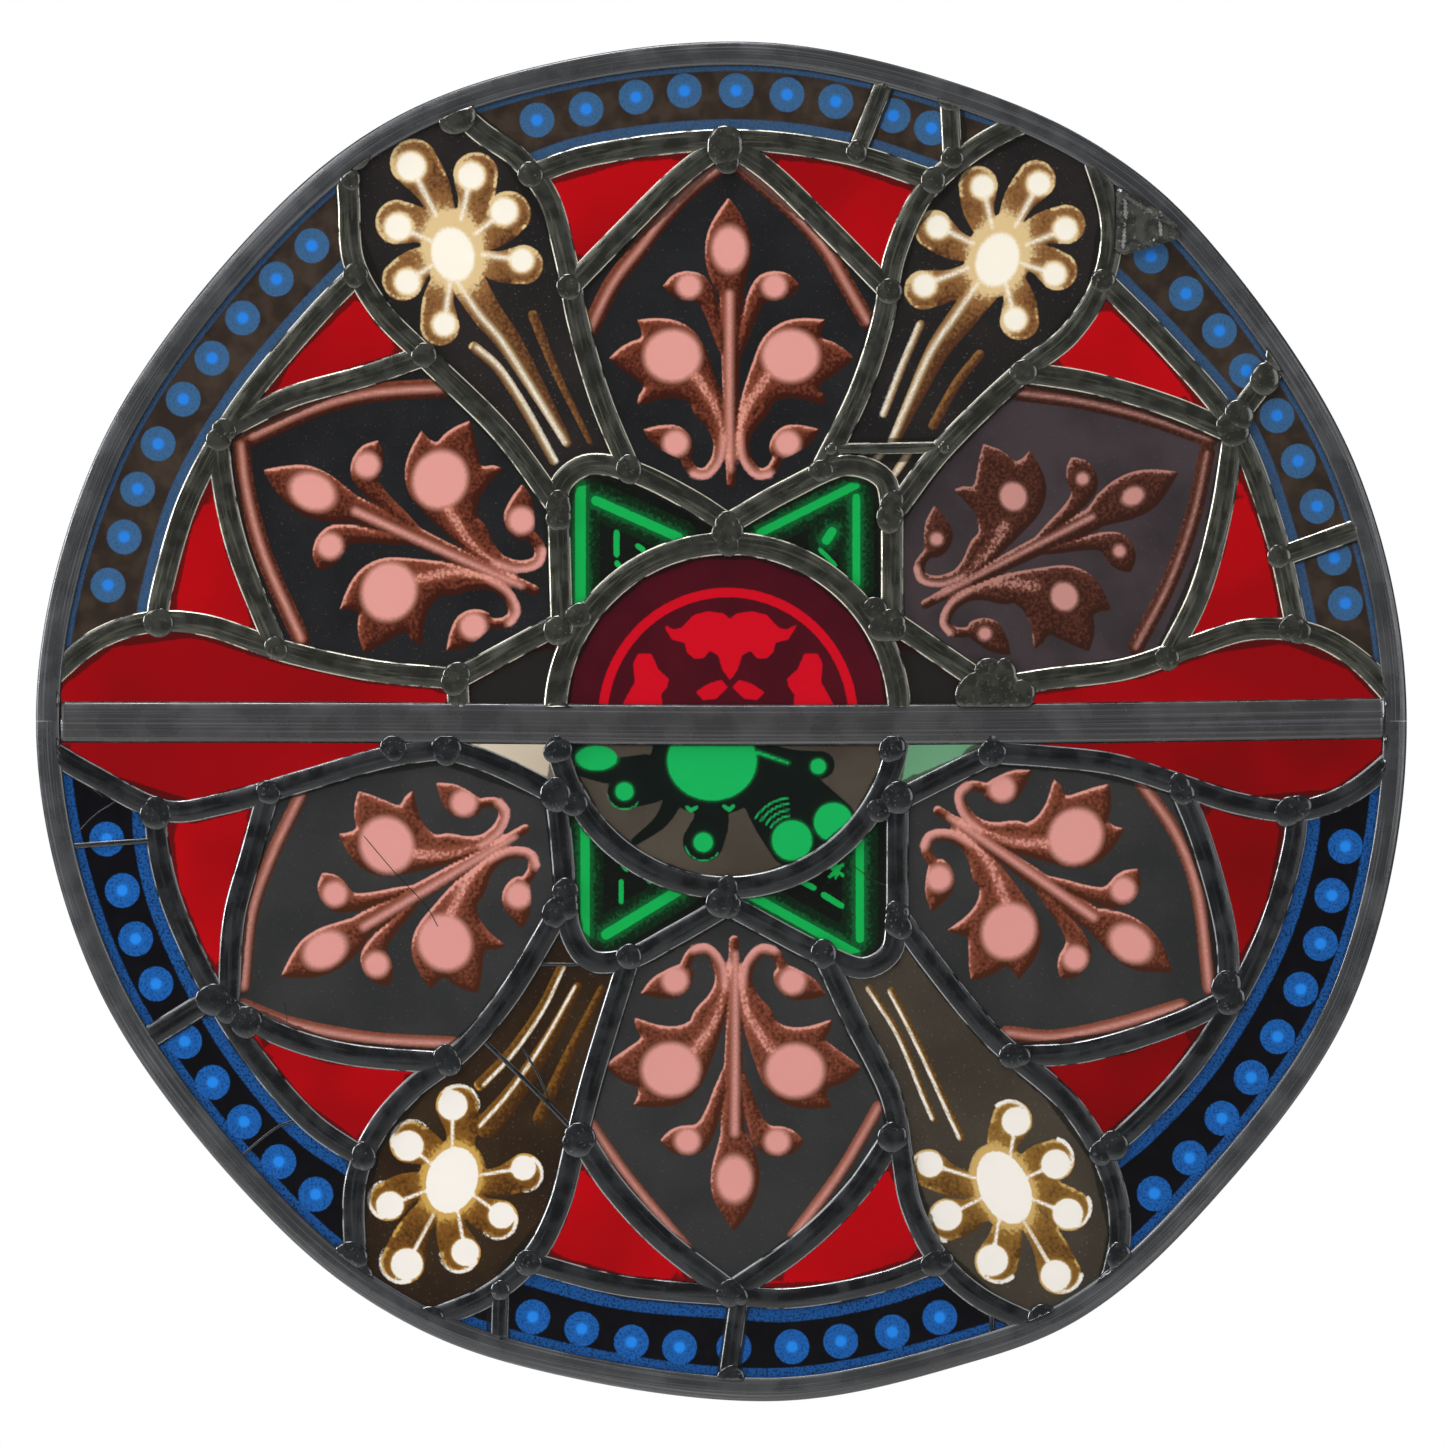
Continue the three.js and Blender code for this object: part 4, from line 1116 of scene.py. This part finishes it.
def outlineOf(node):
    # The outline of the pane's front face, in drawn mm, read from a welded copy of the node.
    work = bmesh.new()
    work.from_mesh(frame["nodes"][node].data)
    bmesh.ops.remove_doubles(work, verts=work.verts, dist=1e-6)
    work.edges.index_update()
    face = [f for f in work.faces if f.normal.y < -0.9]
    edges = {e for f in face for e in f.edges if sum(g in face for g in e.link_faces) == 1}
    start = min(edges, key=lambda e: e.index)  # the same corner in each run
    ring, at, used = [start.verts[0]], start.verts[1], {start}
    while at != ring[0]:
        ring.append(at)
        onward = next(e for e in at.link_edges if e in edges and e not in used)
        used.add(onward)
        at = onward.other_vert(at)
    outline = [(v.co.x / mm, v.co.z / mm - footDrop) for v in ring]
    work.free()
    area = sum(a[0] * b[1] - b[0] * a[1] for a, b in zip(outline, outline[1:] + outline[:1]))
    return outline if area > 0 else outline[::-1]


def sheetOf(outline, spacing):
    # A flat sheet of small triangles that fills an outline.
    corners = np.array(outline)
    low, high = corners.min(0), corners.max(0)
    rows = np.arange(low[1], high[1], spacing * 0.87)
    grid = np.array([(x, z) for i, z in enumerate(rows)
                     for x in np.arange(low[0] + (i % 2) * spacing / 2, high[0], spacing)])
    inside = toShape(grid, outline) < -0.45 * spacing
    edge = []
    for a, b in zip(outline, outline[1:] + outline[:1]):
        count = max(1, round(math.dist(a, b) / (spacing * 1.6)))
        edge += [(a[0] + (b[0] - a[0]) * i / count, a[1] + (b[1] - a[1]) * i / count)
                 for i in range(count)]
    given = [Vector(p) for p in edge] + [Vector(p) for p in grid[inside]]
    ring = [(i, (i + 1) % len(edge)) for i in range(len(edge))]
    flat, _, faces, _, _, _ = geometry.delaunay_2d_cdt(given, ring, [], 1, 1e-6)
    return np.array([(p.x, p.y) for p in flat]), [tuple(f) for f in faces]


def slabMesh(name, points, faces, front, back):
    # Front and back sheets joined round the edge: front may be one depth or one for each point.
    count = len(points)
    front = np.broadcast_to(front, count)
    verts = [(x * mm, -y * mm, (z + footDrop) * mm) for (x, z), y in zip(points, front)]
    verts += [(x * mm, -back * mm, (z + footDrop) * mm) for x, z in points]
    allFaces = faces + [tuple(i + count for i in reversed(f)) for f in faces]
    rims = {(a, b) for f in faces for a, b in zip(f, f[1:] + f[:1])}
    allFaces += [(b, a, a + count, b + count) for a, b in rims if (b, a) not in rims]
    mesh = bpy.data.meshes.new(name)
    mesh.from_pydata(verts, [], allFaces)
    return mesh


def paneMesh(node, spacing, painter, name):
    outline = outlineOf(node)
    points, faces = sheetOf(outline, spacing)
    mesh = slabMesh(node, points, faces, pane["front"], pane["back"])
    values = {"edge": -toShape(points, outline)}
    if painter:
        paint = Paint(points)
        painter(paint, name)
        values.update(body=paint.body, light=paint.light, line=paint.line, tone=paint.tone)
    for key, distances in values.items():
        mesh.attributes.new(key, "FLOAT", "POINT").data.foreach_set(
            "value", np.concatenate([distances, distances]).astype(np.float32))
    return mesh


def wobbled(tree, name, roughMm=0.5, grainMm=1.2):
    # The distance to a painted shape, a little uneven, as a brush and a needle leave it.
    swing = addNode(tree, "ShaderNodeMath", (patches(tree, grainMm, 3.0), 0.5),
                    operation="SUBTRACT")
    distance = addNode(tree, "ShaderNodeAttribute", attribute_name=name).outputs["Fac"]
    return addNode(tree, "ShaderNodeMath", (swing, roughMm, distance), operation="MULTIPLY_ADD")


def dirtAndShadeNearLeads(tree, colour, dirtAndShade, reachMm):
    # Darker along the leads: their cement and soot, and a painted shade of the leads.
    edge = addNode(tree, "ShaderNodeAttribute", attribute_name="edge").outputs["Fac"]
    away = addNode(tree, "ShaderNodeMath", (patches(tree, 2.5, 4.0), 1.6, edge),
                   operation="MULTIPLY_ADD")
    return laid(tree, colour, dirtAndShade, away, 3.6 + reachMm, 3.9, 0.75)


def plainGlass(name, colour, deep, through=1.0):
    # Pot-metal glass, coloured right through: clear, glossy, a little wavy from the blowing.
    material, tree, shader = newMaterial(name, {
        "Roughness": 0.06, "IOR": 1.45, "Transmission Weight": through})
    shade = laid(tree, deep, colour, patches(tree, 60, 2.0), 0.35, 0.65)
    # The pane darkens towards the leads: dirt and painted shade.
    shade = dirtAndShadeNearLeads(tree, shade, "#2A0A08", 1.0)
    dressShader(tree, shader, shade, patches(tree, 22, 2.0), 0.2, 0.6)
    return material


def borderGlass(name, ground, halo, heart, band, speckle):
    # Blue flashed glass under fired brown-black paint, scraped away in dots and bands. The
    # stipple is coarser than the real one, so that it shows.
    material, tree, shader = newMaterial(name, {
        "Roughness": 0.28, "IOR": 1.5, "Specular IOR Level": 0.2, "Transmission Weight": 0.3})
    dark = laid(tree, *ground, patches(tree, 7, 4.0), 0.35, 0.7)
    grain = patches(tree, 0.8, 2.0)
    blue = laid(tree, band, ground[0], grain, 0.45, 0.65, speckle)
    colour = laid(tree, dark, blue, wobbled(tree, "body", 0.6), 0.35, -0.35)
    dot = laid(tree, halo, ground[0], grain, 0.42, 0.7, speckle * 0.8)
    distance = addNode(tree, "ShaderNodeAttribute", attribute_name="light").outputs["Fac"]
    dot = laid(tree, dot, heart, distance, 3.4, 1.2, 0.45)
    dot = laid(tree, dot, heart, distance, 2.5, 1.4)
    colour = laid(tree, colour, dot, wobbled(tree, "light", 0.5), 6.6, 6.1)
    # The pane darkens towards the leads: dirt and painted shade.
    colour = dirtAndShadeNearLeads(tree, colour, "#1A1714", 0.6)
    dressShader(tree, shader, colour, patches(tree, 1.5, 3.0), 0.15, 0.2)
    return material


def paintedGlass(name, ground, body, light, soft=0.5, dirtAndShade="#141310", lineColour="#0C0C0C",
                 stippled=1.1):
    # Fired vitreous paint with matting brushed on and lights picked out: satin, slightly
    # uneven, with a stipple coarser than the real one, so that it shows. The ground runs from
    # its dark to its pale colour in clouds, and the body with the tone.
    material, tree, shader = newMaterial(name, {
        "Roughness": 0.3, "IOR": 1.5, "Specular IOR Level": 0.2, "Transmission Weight": 0.3})
    tone, lights = [addNode(tree, "ShaderNodeAttribute", attribute_name=key).outputs["Fac"]
                    for key in ("tone", "light")]
    under = laid(tree, *ground, patches(tree, 26, 3.0), 0.3, 0.7)
    under = laid(tree, under, light, patches(tree, 0.9, 2.0, 0.4), 0.66, 0.72, 0.12)
    swing = addNode(tree, "ShaderNodeMath", (patches(tree, 1.3, 3.0, 0.8), 0.5),
                    operation="SUBTRACT")
    stipple = addNode(tree, "ShaderNodeMath", (swing, stippled), operation="MULTIPLY")
    tone = addNode(tree, "ShaderNodeMath", (tone, stipple), operation="ADD")
    shade = laid(tree, body[0], body[1], tone, -0.45, 0.12)
    shade = laid(tree, shade, body[2], tone, 0.1, 0.62)
    shapes = wobbled(tree, "body")
    colour = laid(tree, under, shade, shapes, 0.3, -0.3)
    # Inside the body the paint thins out towards its lights.
    nearLight = addNode(tree, "ShaderNodeMath", (stipple, 1.2, lights), operation="MULTIPLY_ADD")
    thinned = addNode(tree, "ShaderNodeMapRange", (nearLight, soft * 2.4, 0.0, 0.0, 0.5),
                      interpolation_type="SMOOTHSTEP")
    colour = laid(tree, colour, body[2], shapes, 0.3, -0.3, thinned)
    colour = laid(tree, colour, light, wobbled(tree, "light", 0.4 + soft, 0.9), soft, -soft)
    colour = laid(tree, colour, lineColour, wobbled(tree, "line", 0.3), 0.25, -0.25)
    # The pane darkens towards the leads: dirt and painted shade.
    colour = dirtAndShadeNearLeads(tree, colour, dirtAndShade, 0.8)
    dressShader(tree, shader, colour, patches(tree, 1.6, 3.0), 0.15, 0.2)
    return material


glass = {
    # Ruby reds: one glass in three colours, painted light where the light comes straight through
    # and painted shade deeper beside the bar.
    "red_glass": plainGlass("selenium_red_glass", "#B8000C", "#9C0008"),
    "deep_red_glass": plainGlass("ruby_glass", "#A0000A", "#8C0007"),
    "dark_red_glass": plainGlass("dark_ruby_glass", "#8C0005", "#760003"),
    # Border: glowing blue dots and thin bands on worn brown or dense black.
    "border_brown_glass": borderGlass(
        "blue_flashed_glass_under_brown_paint", ("#2E241E", "#40352C"),
        "#38648F", "#2680E0", "#34557A", 0.5),
    "border_black_glass": borderGlass(
        "blue_flashed_glass_under_black_paint", ("#020208", "#06060E"),
        "#1B62B2", "#2288EA", "#19559A", 0.8),
    # Lobes: cream lights and gold-brown shading on near black, amber or grey matt.
    "lobe_glass": paintedGlass(
        "brown_grisaille_on_clear_glass", ("#1C1A1A", "#262221"),
        ("#4E2C18", "#8C6136", "#DCC18E"), "#F6F0E2", 0.8),
    "lobe_brown_glass": paintedGlass(
        "amber_grisaille_on_clear_glass", ("#281A0E", "#382817"),
        ("#42260A", "#80541C", "#CDA452"), "#F6F1EA", 0.3),
    "lobe_grey_glass": paintedGlass(
        "pale_grisaille_on_clear_glass", ("#3B342B", "#474036"),
        ("#523414", "#8A642A", "#CDAA66"), "#F4EFE8", 0.3),
    # Petals: chalky pink lights on rust-brown leaves, over black, grey or worn purple-grey.
    "petal_glass": paintedGlass(
        "iron_red_enamel_on_black_matt", ("#17181A", "#202123"),
        ("#3A1408", "#80402C", "#DE9A88"), "#DF9C94", 0.9),
    "petal_grey_glass": paintedGlass(
        "iron_red_enamel_on_grey_matt", ("#2C2D2E", "#363636"),
        ("#46200F", "#8A4A36", "#E09C8E"), "#DD9A93", 0.9),
    "petal_worn_glass": paintedGlass(
        "worn_iron_red_enamel", ("#332D30", "#443A3E"),
        ("#341910", "#5A3024", "#B07C70"), "#C48C84", 0.6, stippled=1.8),
    # Star tips and hub: clear green or red picked out of a dense matt.
    "green_glass": paintedGlass(
        "green_glass_under_black_matt", ("#050805", "#0B100B"),
        ("#020A04", "#06240F", "#085A2A"), "#0BAE50", 0.2, stippled=1.5),
    "hub_maroon_glass": paintedGlass(
        "etched_ruby_glass", ("#420312", "#4E0516"),
        ("#420312", "#4E0516", "#7A0818"), "#CC001C", 0.3, dirtAndShade="#160508"),
    "hub_green_glass": paintedGlass(
        "green_glass_under_brown_matt", ("#453D35", "#524A40"),
        ("#060E0C", "#08170F", "#0A5A2C"), "#10B25A", 0.3, lineColour="#14A456", stippled=0.3),
    # Small plain tips beside the bar: smoky black, milky cream and pale bottle green.
    "tip_dark_glass": plainGlass("smoked_glass", "#232120", "#1B1A19", 0.2),
    "tip_cream_glass": plainGlass("clear_horticultural_glass", "#CFC3AE", "#BDAE98"),
    "tip_green_glass": plainGlass("pale_green_glass", "#6A9C78", "#568A66")}
painters = {"border": paintBorder, "petal": paintPetal, "lobe": paintLobe, "star": paintStar,
            "hub_upper": paintHubUpper, "hub_lower": paintHubLower}
slots = {entry["node"]: entry["material_slot"] for entry in frame["record"]["subparts"]}
for node in sorted(name for name in frame["nodes"] if "_glass_" in name):
    family, place = node.split("_glass_")
    painter = painters.get(family, painters.get(family + "_" + place))
    if slots[node].startswith("tip"):
        painter = None
    mesh = paneMesh(node, pane["fine"] if painter else pane["coarse"], painter, place)
    mesh.materials.append(glass[slots[node]])
    finished(onStage(node.replace("glass", "pane"), mesh), node)
print("stage: panes painted")

# The folded lead patch: depths in mm from the wall, and its folds as a line and a rise.
fold = {"low": 7.1, "high": 7.68, "back": 6.9, "thinnest": 0.05, "spacing": 0.8,
        "crease": 0.5, "soft": 1.1}
folds = [
    ([(146, 193), (146, 182), (145, 173)], 0.6),
    ([(147, 193), (158.5, 186)], 0.6),
    ([(146, 181.5), (158, 185.5)], -0.4),
    ([(158.5, 186), (159, 176)], 0.5),
    ([(158, 185), (166, 182)], 0.4),
    ([(147, 171), (167, 177)], 0.5),
    ([(150, 186), (153, 183), (152, 178)], -0.35)]
points, faces = sheetOf(outlineOf("lead_patch"), fold["spacing"])
depth = np.full(len(points), fold["low"])
for line, rise in folds:
    away = np.maximum(toStroke(points, line, fold["crease"], None, False), 0)
    depth = depth + rise * np.exp(-(away / fold["soft"]) ** 2)
depth = np.clip(depth, fold["back"] + fold["thinnest"], fold["high"])
patch = onStage("folded_patch", slabMesh("folded_patch", points, faces, depth, fold["back"]))
patch.data.materials.append(patchLead)
finished(patch, "lead_patch")
print("stage: patch folded")

print("stage: done")
